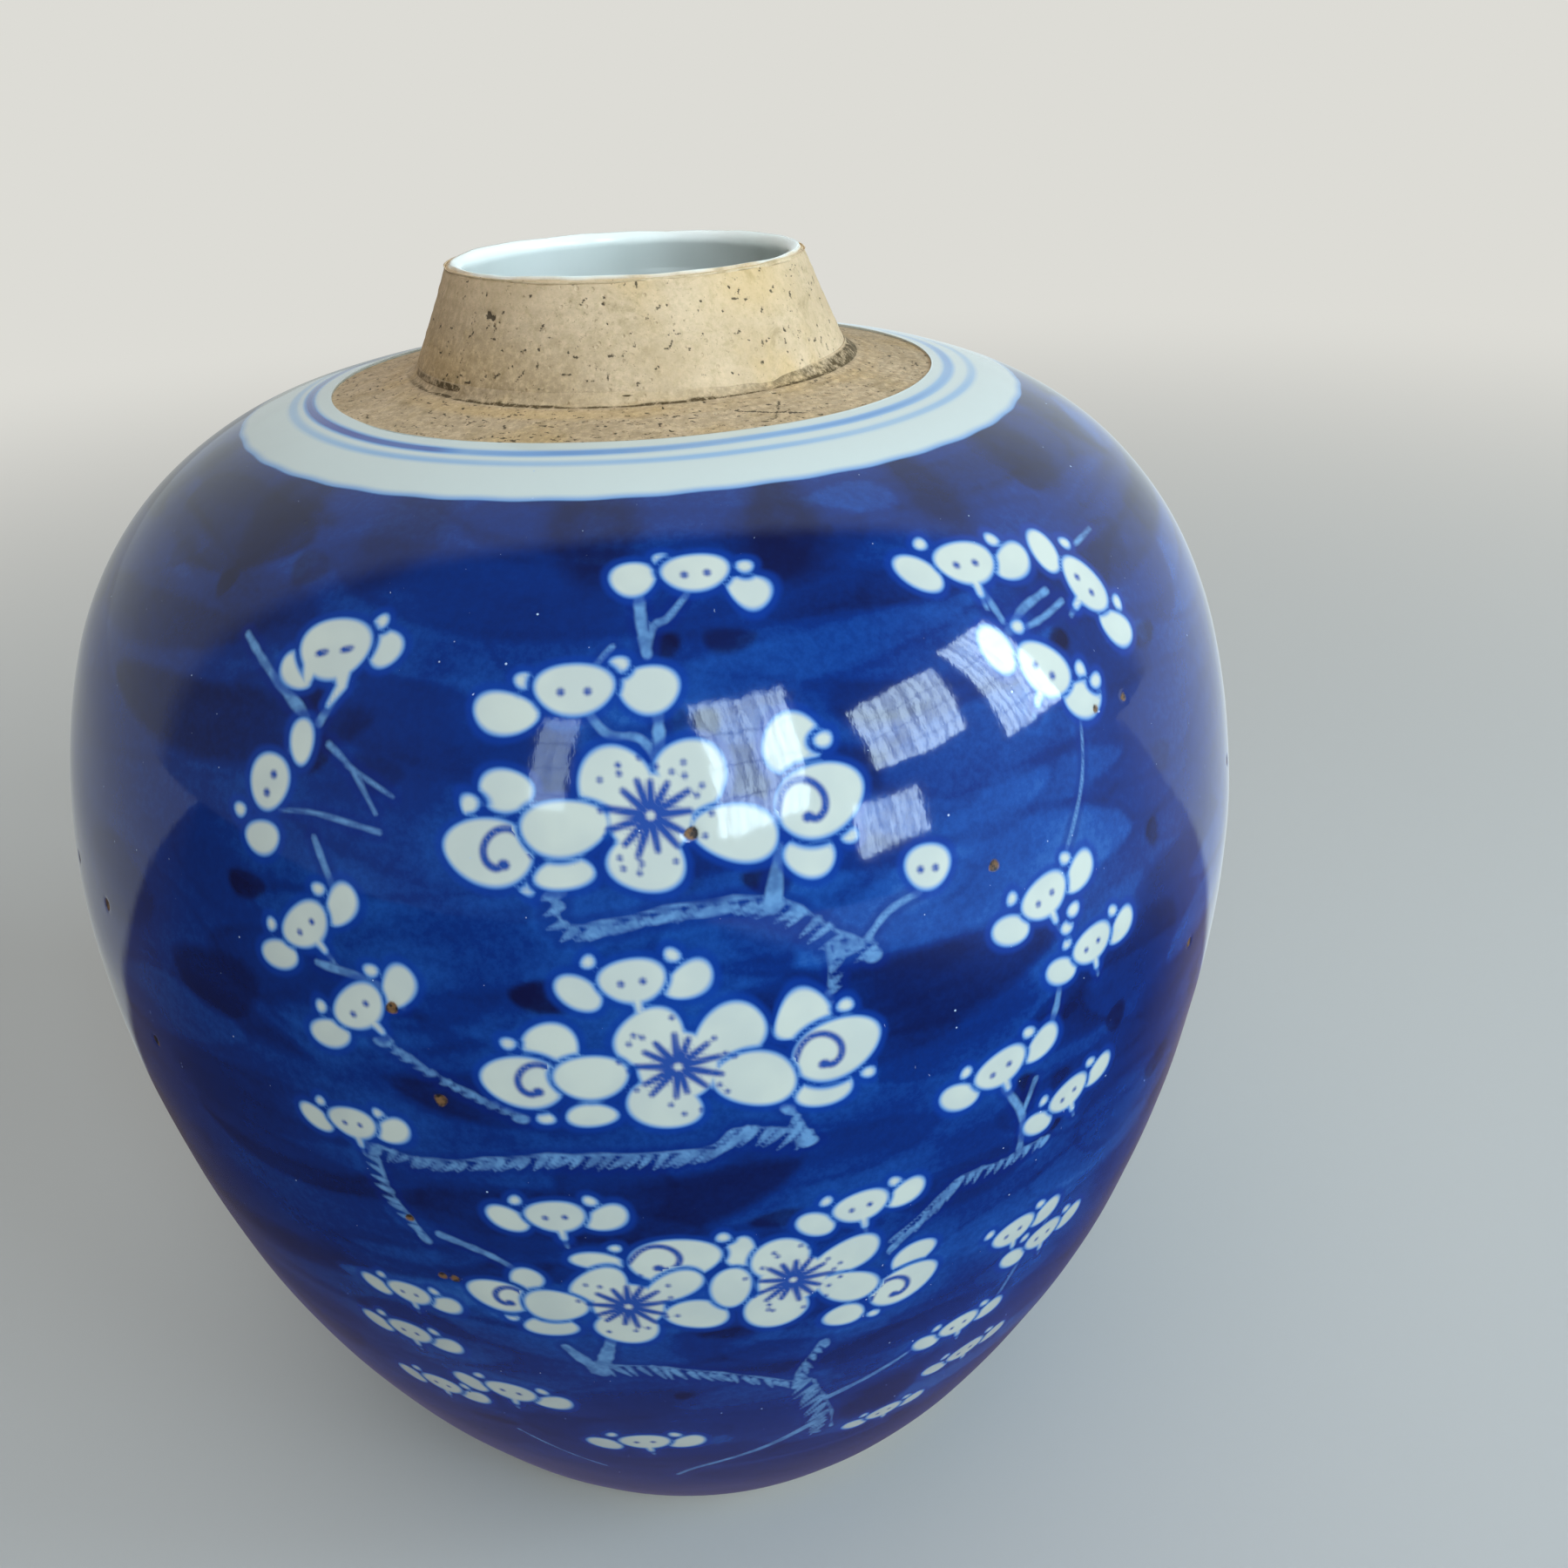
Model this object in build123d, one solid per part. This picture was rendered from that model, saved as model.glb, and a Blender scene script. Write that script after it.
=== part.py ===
"""A porcelain ginger jar, thrown in three pieces, luted together with slip and glazed.

Every piece is a body of revolution about the jar's upright axis. Each is drawn as a flat section, with the distance
from the axis as x and the height as y, and then turned through a full circle. Millimetres, +Z up, and the origin is
the centre of the foot on the table.
"""

from build123d import *
from math import radians, tan
import os

# ---- outside of the jar, over the glaze ----
BELLY_RADIUS = 100.6  # widest point of the jar
BELLY_HEIGHT = 126.0  # level of the widest point, where the two thrown halves meet
LOWER_ARC = 215.0  # radius of the long curve from the belly down to the foot
LOWER_SWEEP = 45.0  # degrees of that curve drawn, more than enough to pass the table
UPPER_ARC = 107.2  # radius of the curve from the belly up
UPPER_SWEEP = 22.8  # degrees of that curve
SHOULDER_ARC = 53.9  # radius of the tighter curve that turns the wall over into the shoulder
SHOULDER_SLOPE = 10.6  # degrees that the straight top of the shoulder rises towards the neck

# ---- clay and glaze ----
GLAZE = 0.4
CLAY_WALL = 4.2
BARE_RING_RADIUS = 48.2  # the outer glaze stops here, and leaves the seat of a cap lid bare
OUTER_GLAZE_BOTTOM = 4.5  # the outer glaze stops this far above the table

# ---- neck, a separately thrown cone ----
NECK_ROOT_RADIUS = 35.0  # outside of the neck where it meets the shoulder
NECK_TAPER = 24.2  # degrees that the neck leans in from upright
NECK_SLANT = 16.5  # length of the neck's outside, up to where the lip starts to round over
NECK_THICKNESS = 2.2
BORE_DEPTH = 25.0  # how far the bore is drawn down along the slant, into the hollow
BORE_RADIUS = 17.5  # about the middle of the bore

# ---- foot and floor ----
FOOT_RADIUS = 58.4  # outer edge of the ring that touches the table
FOOT_BEVEL_TOP = 3.2  # the bevel around the foot ends at this height
FOOT_INNER_RADIUS = 50.6
RECESS_HEIGHT = 5.0  # depth of the turned recess inside the foot ring
RECESS_DRAFT = 1.2  # how much narrower the recess is at its top
RECESS_CORNER = 2.0
BASE_GLAZE_BOTTOM = 1.6  # the recess is glazed down to this height
FLOOR_HEIGHT = 11.5  # clay floor of the hollow
FLOOR_CORNER = 10.0
CEILING_CORNER = 2.0  # rounded clay edge where the hollow opens into the neck

# ---- luting slip ----
BELLY_SLIP = 0.8  # thickness of slip between the two halves
RIDGE_RADIUS = 4.0  # the slip squeezed out inside is a low ridge, part of a circle this big
RIDGE_PROUD = 1.4  # how far that ridge stands out of the inside wall
NECK_SLIP = 0.5  # thickness of slip under the neck
BEAD_UP = 1.7  # the wiped bead of slip around the neck's root: up the neck
BEAD_OUT = 1.3  # and out along the shoulder

# ---- worked out from the above ----
FAR = 400.0  # further out than any part of the jar
INSIDE = GLAZE + CLAY_WALL  # depth of the clay's inner face below the glazed outside
LIP_RADIUS = NECK_THICKNESS / 2
SHOULDER_SWEEP = 90 - SHOULDER_SLOPE - UPPER_SWEEP
UPPER_CENTRE = Vector(BELLY_RADIUS - UPPER_ARC, BELLY_HEIGHT)
SHOULDER_CENTRE = UPPER_CENTRE + (UPPER_ARC - SHOULDER_ARC) * Vector(1, 0).rotate(Axis.Z, UPPER_SWEEP)


def region(left, bottom, right, top):
    """A rectangle between two distances from the axis and two heights."""
    return Pos((left + right) / 2, (bottom + top) / 2) * Rectangle(right - left, top - bottom)


def shoulder_height(radius, depth):
    """Height of the straight shoulder at a radius, on the surface that lies a depth below the glazed outside."""
    corner = SHOULDER_CENTRE + (SHOULDER_ARC - depth) * Vector(0, 1).rotate(Axis.Z, -SHOULDER_SLOPE)
    return corner.Y + (corner.X - radius) * tan(radians(SHOULDER_SLOPE))


def pot(depth, bottom=0.0):
    """Section of the pot without its neck, solid, up to the surface that lies a depth below the glazed outside."""
    lower = CenterArc(
        (BELLY_RADIUS - LOWER_ARC, BELLY_HEIGHT), LOWER_ARC - depth, -LOWER_SWEEP, LOWER_SWEEP
    )
    upper = CenterArc(UPPER_CENTRE, UPPER_ARC - depth, 0, UPPER_SWEEP)
    shoulder = CenterArc(SHOULDER_CENTRE, SHOULDER_ARC - depth, UPPER_SWEEP, SHOULDER_SWEEP)
    start = lower @ 0
    peak = (0, shoulder_height(0, depth))
    inner = Polyline(shoulder @ 1, peak, (0, start.Y), start)
    return make_face([lower, upper, shoulder, inner]) & region(0, bottom, FAR, FAR)


# Along the neck, x is measured outward from its outside face and y up its slant from its root.
NECK_FRAME = Pos(NECK_ROOT_RADIUS, shoulder_height(NECK_ROOT_RADIUS, GLAZE)) * Rot(0, 0, NECK_TAPER)
LIP = NECK_FRAME * Pos(-LIP_RADIUS, NECK_SLANT)
ABOVE_LIP = LIP * region(-FAR, 0, FAR, FAR)


def neck_wall(half_thickness):
    """Section of the neck's wall with its fully rounded lip, run on down through the shoulder."""
    return LIP * (Circle(half_thickness) + region(-half_thickness, -BORE_DEPTH, half_thickness, 0))


def corner_near(section, radius, height):
    """The corner of a section that lies nearest to a place."""
    return section.vertices().sort_by_distance(Vector(radius, height))[0]


def hollow(skin):
    """Section of the space inside the jar, a skin clear of the bare clay."""
    depth = INSIDE + skin
    floor = FLOOR_HEIGHT + skin
    top = shoulder_height(BORE_RADIUS, depth)  # flat across the bore, so no peak is left inside it
    room = pot(depth, floor) & region(0, floor, FAR, top)
    room = fillet(corner_near(room, FOOT_RADIUS, floor), FLOOR_CORNER - skin)
    bore = LIP * region(-FAR, -BORE_DEPTH, -LIP_RADIUS - skin, 0) & region(0, 0, FAR, FAR)
    room = room + bore
    ceiling = shoulder_height(NECK_ROOT_RADIUS, depth)
    return fillet(corner_near(room, NECK_ROOT_RADIUS, ceiling), CEILING_CORNER + skin)


def belly_ridge(skin):
    """The rounded ridge of slip inside the belly seam, grown by a skin."""
    centre = BELLY_RADIUS - INSIDE + RIDGE_RADIUS - RIDGE_PROUD
    return Pos(centre, BELLY_HEIGHT) * Circle(RIDGE_RADIUS + skin)


def foot_recess(skin):
    """Section of the recess turned into the base inside the foot ring, a skin clear of the bare clay."""
    outer = FOOT_INNER_RADIUS - skin
    top = RECESS_HEIGHT - skin
    section = make_face(Polyline([(0, 0), (outer, 0), (outer - RECESS_DRAFT, top), (0, top)], close=True))
    return fillet(corner_near(section, outer, top), RECESS_CORNER - skin)


def foot_bevel():
    """Section cut away around the outside of the foot."""
    below_belly = BELLY_HEIGHT - FOOT_BEVEL_TOP
    wall_radius = BELLY_RADIUS - LOWER_ARC + ((LOWER_ARC - GLAZE) ** 2 - below_belly**2) ** 0.5
    corners = [(FOOT_RADIUS, 0), (FAR, 0), (FAR, FOOT_BEVEL_TOP), (wall_radius, FOOT_BEVEL_TOP)]
    return make_face(Polyline(corners, close=True))


# ---- the pieces, each as a section ----
MOUTH = LIP * region(-FAR, -BORE_DEPTH, -LIP_RADIUS, FAR)
CLAY_POT = pot(GLAZE) - hollow(0) - MOUTH - foot_recess(0) - foot_bevel()
SEAM_BOTTOM = BELLY_HEIGHT - BELLY_SLIP / 2
SEAM_TOP = BELLY_HEIGHT + BELLY_SLIP / 2


def lower_body():
    """The thrown lower half, with the foot ring and base recess turned into it."""
    return CLAY_POT & region(0, 0, FAR, SEAM_BOTTOM)


def upper_body():
    """The thrown upper half, from the belly seam to the hole in the shoulder."""
    return CLAY_POT & region(0, SEAM_TOP, FAR, FAR)


def belly_luting_slip():
    """Slip between the halves, with the ridge that was squeezed out inside and left."""
    return (CLAY_POT & region(0, SEAM_BOTTOM, FAR, SEAM_TOP)) + (belly_ridge(0) & hollow(0))


def neck():
    """The conical neck with its rounded lip, standing on its bed of slip."""
    return neck_wall(LIP_RADIUS) - pot(GLAZE - NECK_SLIP)


def neck_luting_slip():
    """The bed of slip under the neck, with the bead that was wiped around its root."""
    bed = (neck_wall(LIP_RADIUS) & pot(GLAZE - NECK_SLIP)) - pot(GLAZE)
    bead_radius = NECK_ROOT_RADIUS + BEAD_OUT
    on_shoulder = (bead_radius, shoulder_height(bead_radius, GLAZE))
    on_neck = (NECK_FRAME * Pos(0, BEAD_UP)).position
    bead = make_face(Polyline([on_neck, NECK_FRAME.position, on_shoulder], close=True))
    return bed + bead


def outer_glaze():
    """Glaze over the outside, from just above the foot to the bare ring on the shoulder."""
    return (pot(0) - pot(GLAZE)) & region(BARE_RING_RADIUS, OUTER_GLAZE_BOTTOM, FAR, FAR)


def inner_glaze():
    """Glaze over the inside, up the bore and over the lip to its outer edge."""
    lip_coat = (neck_wall(LIP_RADIUS + GLAZE) - neck_wall(LIP_RADIUS)) & ABOVE_LIP
    coated = hollow(0) - belly_ridge(0)
    open_space = hollow(GLAZE) - belly_ridge(GLAZE)
    return (coated - open_space) + lip_coat


def base_glaze():
    """Glaze in the recess under the base."""
    return (foot_recess(0) - foot_recess(GLAZE)) & region(0, BASE_GLAZE_BOTTOM, FAR, FAR)


os.makedirs("parts", exist_ok=True)
for piece in (
    lower_body,
    upper_body,
    belly_luting_slip,
    neck,
    neck_luting_slip,
    outer_glaze,
    inner_glaze,
    base_glaze,
):
    solid = revolve(Plane.XZ * piece(), Axis.Z)
    export_step(solid, f"parts/{piece.__name__}.step")
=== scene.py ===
"""Looks for the ginger jar: painted glaze, bare clay neck and shoulder, clear glaze inside and the studio."""

from math import cos, pi, radians, sin

import bpy
import numpy as np
from mathutils import Matrix, Vector


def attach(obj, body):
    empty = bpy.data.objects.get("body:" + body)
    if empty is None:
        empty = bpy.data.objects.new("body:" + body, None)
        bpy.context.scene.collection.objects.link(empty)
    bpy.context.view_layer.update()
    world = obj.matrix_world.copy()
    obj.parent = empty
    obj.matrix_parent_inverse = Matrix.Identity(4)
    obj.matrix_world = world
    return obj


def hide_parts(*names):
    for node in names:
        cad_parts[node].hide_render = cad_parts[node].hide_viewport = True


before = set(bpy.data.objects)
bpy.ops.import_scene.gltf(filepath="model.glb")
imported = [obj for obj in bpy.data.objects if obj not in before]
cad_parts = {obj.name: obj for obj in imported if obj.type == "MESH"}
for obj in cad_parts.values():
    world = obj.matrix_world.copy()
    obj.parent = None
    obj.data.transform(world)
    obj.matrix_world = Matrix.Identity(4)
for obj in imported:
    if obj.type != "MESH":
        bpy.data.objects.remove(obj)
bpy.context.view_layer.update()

MM = 0.001
FAR = 50.0  # mm, further than any motif reaches
COLUMNS = 1440  # around the painted glaze
BISCUIT_COLUMNS = 900  # around the bare clay
FINE = 0.46  # mm between rows of the painted glaze
CORNER_ROW = 0.07  # mm from a sharp corner to the next row, which keeps the corner crisp
SEED = 20


# ---------------------------------------------------------------- small helpers


def unit(vectors):
    """Vectors brought to length 1."""
    return vectors / np.linalg.norm(vectors, axis=1)[:, None]


def running(steps):
    """Running total of some steps, from 0."""
    return np.concatenate([[0], np.cumsum(steps)])


def distance_along(path):
    """Distance along a path to each of its points."""
    return running(np.linalg.norm(np.diff(path, axis=0), axis=1))


def all_around(columns):
    """The angle of each of a piece's columns, in degrees from the front."""
    return np.linspace(-180, 180, columns, endpoint=False)


def angle_from(turn, middle):
    """Degrees around the jar from middle to turn, from -180 to 180."""
    return (turn - middle + 180) % 360 - 180


def soft(value, low, high):
    """Smooth step from 0 below low to 1 above high."""
    t = np.clip((value - low) / (high - low), 0, 1)
    return t * t * (3 - 2 * t)


def placed(name, data):
    """A new object in the scene."""
    made = bpy.data.objects.new(name, data)
    bpy.context.scene.collection.objects.link(made)
    return made


# ---------------------------------------------------------------- sections of the CAD nodes


def mesh_arrays(mesh):
    """A mesh's vertices in millimetres and its edges, as arrays."""
    points = np.zeros(len(mesh.vertices) * 3)
    mesh.vertices.foreach_get("co", points)
    edges = np.zeros(len(mesh.edges) * 2, int)
    mesh.edges.foreach_get("vertices", edges)
    return points.reshape(-1, 3) / MM, edges.reshape(-1, 2)


def section(node):
    """A CAD node's section as an ordered outline of (radius, height) in mm, and whether it is a closed loop.
    It is walked along the node's seam in the XZ plane. Where the piece crosses the axis the outline is open,
    and is taken up to the axis. With the axis on its left it runs clockwise, so it comes down the outside."""
    points, edges = mesh_arrays(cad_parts[node].data)
    on_seam = (abs(points[:, 1]) < 1e-4) & (points[:, 0] > -1e-4)
    keys = [tuple(p) for p in np.round(points[:, [0, 2]], 3)]
    near = {}
    for a, b in edges[on_seam[edges].all(axis=1)]:
        if keys[a] != keys[b]:
            near.setdefault(keys[a], set()).add(keys[b])
            near.setdefault(keys[b], set()).add(keys[a])
    ends = [k for k in near if len(near[k]) == 1]
    walk = [min(ends)] if ends else [max(near, key=lambda k: (k[1], k[0]))]
    while True:
        onward = [k for k in near[walk[-1]] if k not in walk]
        if not onward:
            break
        walk.append(min(onward) if len(walk) == 1 else onward[0])
    loop = np.array(walk)
    if ends:
        loop = np.vstack([[0, loop[0, 1]], loop, [0, loop[-1, 1]]])
    around = np.roll(loop, -1, axis=0)
    area = np.sum(loop[:, 0] * around[:, 1] - around[:, 0] * loop[:, 1])
    return (loop[::-1] if area > 0 else loop), not ends


def corner_flags(loop, closed):
    """True at each point of a loop where the outline turns sharply, and at both ends of an open one."""
    before = unit(loop - np.roll(loop, 1, axis=0))
    after = unit(np.roll(loop, -1, axis=0) - loop)
    flags = np.sum(before * after, axis=1) < cos(radians(20))
    if not closed:
        flags[[0, -1]] = True
    return flags


def smooth_stretch(points, spacing_at):
    """A stretch between two corners, resampled as a smooth curve. spacing_at gives the mm between rows at a
    radius, a height and an outward lean: 1 where the surface faces away from the axis, -1 towards it."""
    length = distance_along(points)
    beyond = np.vstack([points[:1], points, points[-1:]])
    slope = unit(beyond[2:] - beyond[:-2])
    fine = np.linspace(0, length[-1], max(16, int(length[-1] * 8)))
    i = np.clip(np.searchsorted(length, fine, side="right") - 1, 0, len(points) - 2)
    step = (length[i + 1] - length[i])[:, None]
    t = (fine - length[i])[:, None] / step
    curve = (
        (2 * t**3 - 3 * t**2 + 1) * points[i]
        + (t**3 - 2 * t**2 + t) * step * slope[i]
        + (3 * t**2 - 2 * t**3) * points[i + 1]
        + (t**3 - t**2) * step * slope[i + 1]
    )
    outward = -unit(np.gradient(curve, axis=0))[:, 1]
    rate = 1 / (spacing_at(curve[:, 0], curve[:, 1], outward) + 0 * fine)
    count = running((rate[1:] + rate[:-1]) / 2 * np.diff(fine))
    places = np.interp(np.linspace(0, count[-1], max(3, int(count[-1]) + 1)), count, fine)
    edge = min(CORNER_ROW, length[-1] / 4)
    places = np.unique(np.concatenate([places, [edge, length[-1] - edge]]))
    return np.stack([np.interp(places, fine, curve[:, k]) for k in (0, 1)], axis=1)


class Rows:
    """The rows of a turned piece, as columns of numbers: radius, height and distance along the outline in mm,
    and the surface's normal, which points out from the axis and up."""

    def __init__(self, node, spacing_at):
        loop, self.closed = section(node)
        corners = corner_flags(loop, self.closed)
        if self.closed:
            first = max(np.flatnonzero(corners), key=lambda k: loop[k, 1])
            loop = np.roll(loop, -first, axis=0)
            corners = np.roll(corners, -first)
            loop = np.vstack([loop, loop[:1]])
            corners = np.append(corners, True)
        breaks = np.flatnonzero(corners)
        stretches = [smooth_stretch(loop[a : b + 1], spacing_at) for a, b in zip(breaks, breaks[1:])]
        path = np.vstack([s[:-1] for s in stretches] + ([] if self.closed else [stretches[-1][-1:]]))
        self.radius, self.height = path[:, :1], path[:, 1:]
        ahead = np.roll(path, -1, axis=0) - path
        if not self.closed:
            ahead[-1] = ahead[-2]
        behind = np.roll(ahead, 1, axis=0)
        if not self.closed:
            behind[0] = ahead[0]
        tangent = unit(unit(ahead) + unit(behind))
        self.out, self.up = -tangent[:, 1:], tangent[:, :1]
        self.along = distance_along(path)[:, None]


def quads_and_fans(rows, columns):
    """Corner arrays for a turned mesh: vertex, row and column of each corner, and the corners in each face.
    An open outline starts and ends in one vertex on the axis."""
    n = len(rows.radius)
    first, last = (0, n) if rows.closed else (1, n - 2)
    i, j = np.meshgrid(np.arange(first, last), np.arange(columns), indexing="ij")
    row = np.stack([i, i + 1, i + 1, i], axis=-1).reshape(-1)
    column = np.stack([j, j, j + 1, j + 1], axis=-1).reshape(-1)
    sizes = [np.full(i.size, 4)]
    if not rows.closed:
        k = np.arange(columns)
        row = np.concatenate([row, np.tile([0, 1, 1], columns), np.tile([n - 1, n - 2, n - 2], columns)])
        first_fan = np.stack([k, k, k + 1], axis=1).reshape(-1)
        last_fan = np.stack([k, k + 1, k], axis=1).reshape(-1)
        column = np.concatenate([column, first_fan, last_fan])
        sizes += [np.full(columns, 3), np.full(columns, 3)]
    return row, column, np.concatenate(sizes)


def turned(name, node, rows, finish, relief, layers):
    """A turned piece that stands for a CAD node, closed all over. Relief is how far each of its points stands
    out from the CAD's surface, in mm, by row and column. Its painted layers are point attributes."""
    n, columns = relief.shape
    lift = np.array(relief)
    if not rows.closed:
        lift[[0, -1]] = lift[[0, -1], :1]
    radius = rows.radius + lift * rows.out
    height = rows.height + lift * rows.up
    angle = np.radians(all_around(columns))
    points = np.stack([radius * np.sin(angle), -radius * np.cos(angle), height + 0 * angle], axis=-1)
    row, column, sizes = quads_and_fans(rows, columns)
    index = (row % n) * columns + column % columns
    keep = np.arange(n * columns)
    if not rows.closed:
        keep = np.concatenate([[0], np.arange(columns, (n - 1) * columns), [(n - 1) * columns]])
        index = np.where(row == 0, 0, np.where(row == n - 1, (n - 1) * columns, index))
    renumber = np.zeros(n * columns, int)
    renumber[keep] = np.arange(len(keep))
    mesh = bpy.data.meshes.new(name)
    mesh.vertices.add(len(keep))
    mesh.vertices.foreach_set("co", (points.reshape(-1, 3)[keep] * MM).reshape(-1))
    mesh.loops.add(len(index))
    mesh.loops.foreach_set("vertex_index", renumber[index])
    mesh.polygons.add(len(sizes))
    starts = running(sizes)[:-1]
    mesh.polygons.foreach_set("loop_start", starts)
    mesh.polygons.foreach_set("use_smooth", np.ones(len(sizes), bool))
    for layer, values in layers.items():
        mesh.attributes.new(layer, "FLOAT", "POINT").data.foreach_set("value", values.reshape(-1)[keep])
    half = columns // 2
    side = np.repeat(column[starts] >= half, sizes)
    u = (column - side * half) / half
    v = (row / n) * 0.49 + side * 0.505
    mesh.uv_layers.new(name="OFBake").data.foreach_set("uv", np.stack([u, v], axis=1).reshape(-1))
    mesh.update()
    mesh.validate()
    mesh.materials.append(finish)
    piece = placed(name, mesh)
    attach(piece, "root")
    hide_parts(node)


# ---------------------------------------------------------------- brushwork on the outer glaze


def leaning(x, y, at, tilt):
    """Places seen from at, along and across a line that leans tilt degrees."""
    c, s = cos(radians(tilt)), sin(radians(tilt))
    return (x - at[0]) * c + (y - at[1]) * s, (y - at[1]) * c - (x - at[0]) * s


def petal(x, y, at, size, tilt=0.0, point=0.0, bend=0.0, uneven=0.035):
    """Distance inside a petal's edge, in mm: positive inside. It is an ellipse with half its length and width
    in size and an uneven edge, drawn in towards its left end by point and bent to one side by bend."""
    along, across = leaning(x, y, at, tilt)
    along, across = along / size[0], across / size[1]
    across = across / np.clip(1 + point * along, 0.25, 3) + bend * (along**2 - 0.3)
    wobble = 1 + uneven * np.sin(3 * np.arctan2(across, along) + 2 * at[0] + at[1])
    near = np.hypot(along, across) / wobble
    slope = np.hypot(along / size[0], across / size[1]) + 1e-9
    return np.where(near < 0.2, min(size) * (1 - near), near * (1 - near) / slope)


def ellipse(x, y, at, size, tilt=0.0):
    return petal(x, y, at, size, tilt, uneven=0.0)


def stroke(x, y, path, width):
    """Distance inside a brush stroke along a path of points. Its width may change from end to end."""
    widths = np.broadcast_to(width, len(path))
    inside = np.full(np.broadcast(x, y).shape, -FAR)
    for (ax, ay), (bx, by), wa, wb in zip(path, path[1:], widths, widths[1:]):
        span = np.array([bx - ax, by - ay])
        t = np.clip(((x - ax) * span[0] + (y - ay) * span[1]) / (span @ span + 1e-9), 0, 1)
        gap = np.hypot(x - ax - t * span[0], y - ay - t * span[1])
        inside = np.maximum(inside, (wa + (wb - wa) * t) / 2 - gap)
    return inside


def curve_through(points, steps=6):
    """A smooth path through a few points."""
    p = np.array([points[0], *points, points[-1]], float)
    path = []
    for a, b, c, d in zip(p, p[1:], p[2:], p[3:]):
        for t in np.linspace(0, 1, steps, endpoint=False):
            square = (2 * a - 5 * b + 4 * c - d) / 2
            cube = (3 * b - a - 3 * c + d) / 2
            path.append(b + (c - a) / 2 * t + square * t**2 + cube * t**3)
    return [*path, p[-1]]


# the curled line in a half-open flower, as a share of the flower's size
CURL = [(1, 0.1), (0.74, 0.58), (0.45, 0.78), (0.17, 0.7), (-0.03, 0.42), (-0.1, 0.05)]
CURL += [(0, -0.3), (0.22, -0.44), (0.4, -0.3)]
MM_PER_DEGREE = 1.75  # around the belly
DASH_PITCH = 1.75  # mm between the dashes of a hatched twig
DABS, BLOTS = 620, 110  # how many make up the cobalt ground
DAB_LEVELS = {0.08: 0.18, 0.26: 0.27, 0.42: 0.29, 0.54: 0.18, 0.68: 0.08}  # tones and how often each is used
CLOUDS, CLOUD_PITCH = 18, 19.6  # dark clouds under the band, and the degrees between them
BAND_WIDTH = 14.8  # mm of plain white band under the bare ring


def add(layer, cells, shape):
    """Adds a shape to some cells of a layer."""
    layer[cells] = np.maximum(layer[cells], shape)


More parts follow.
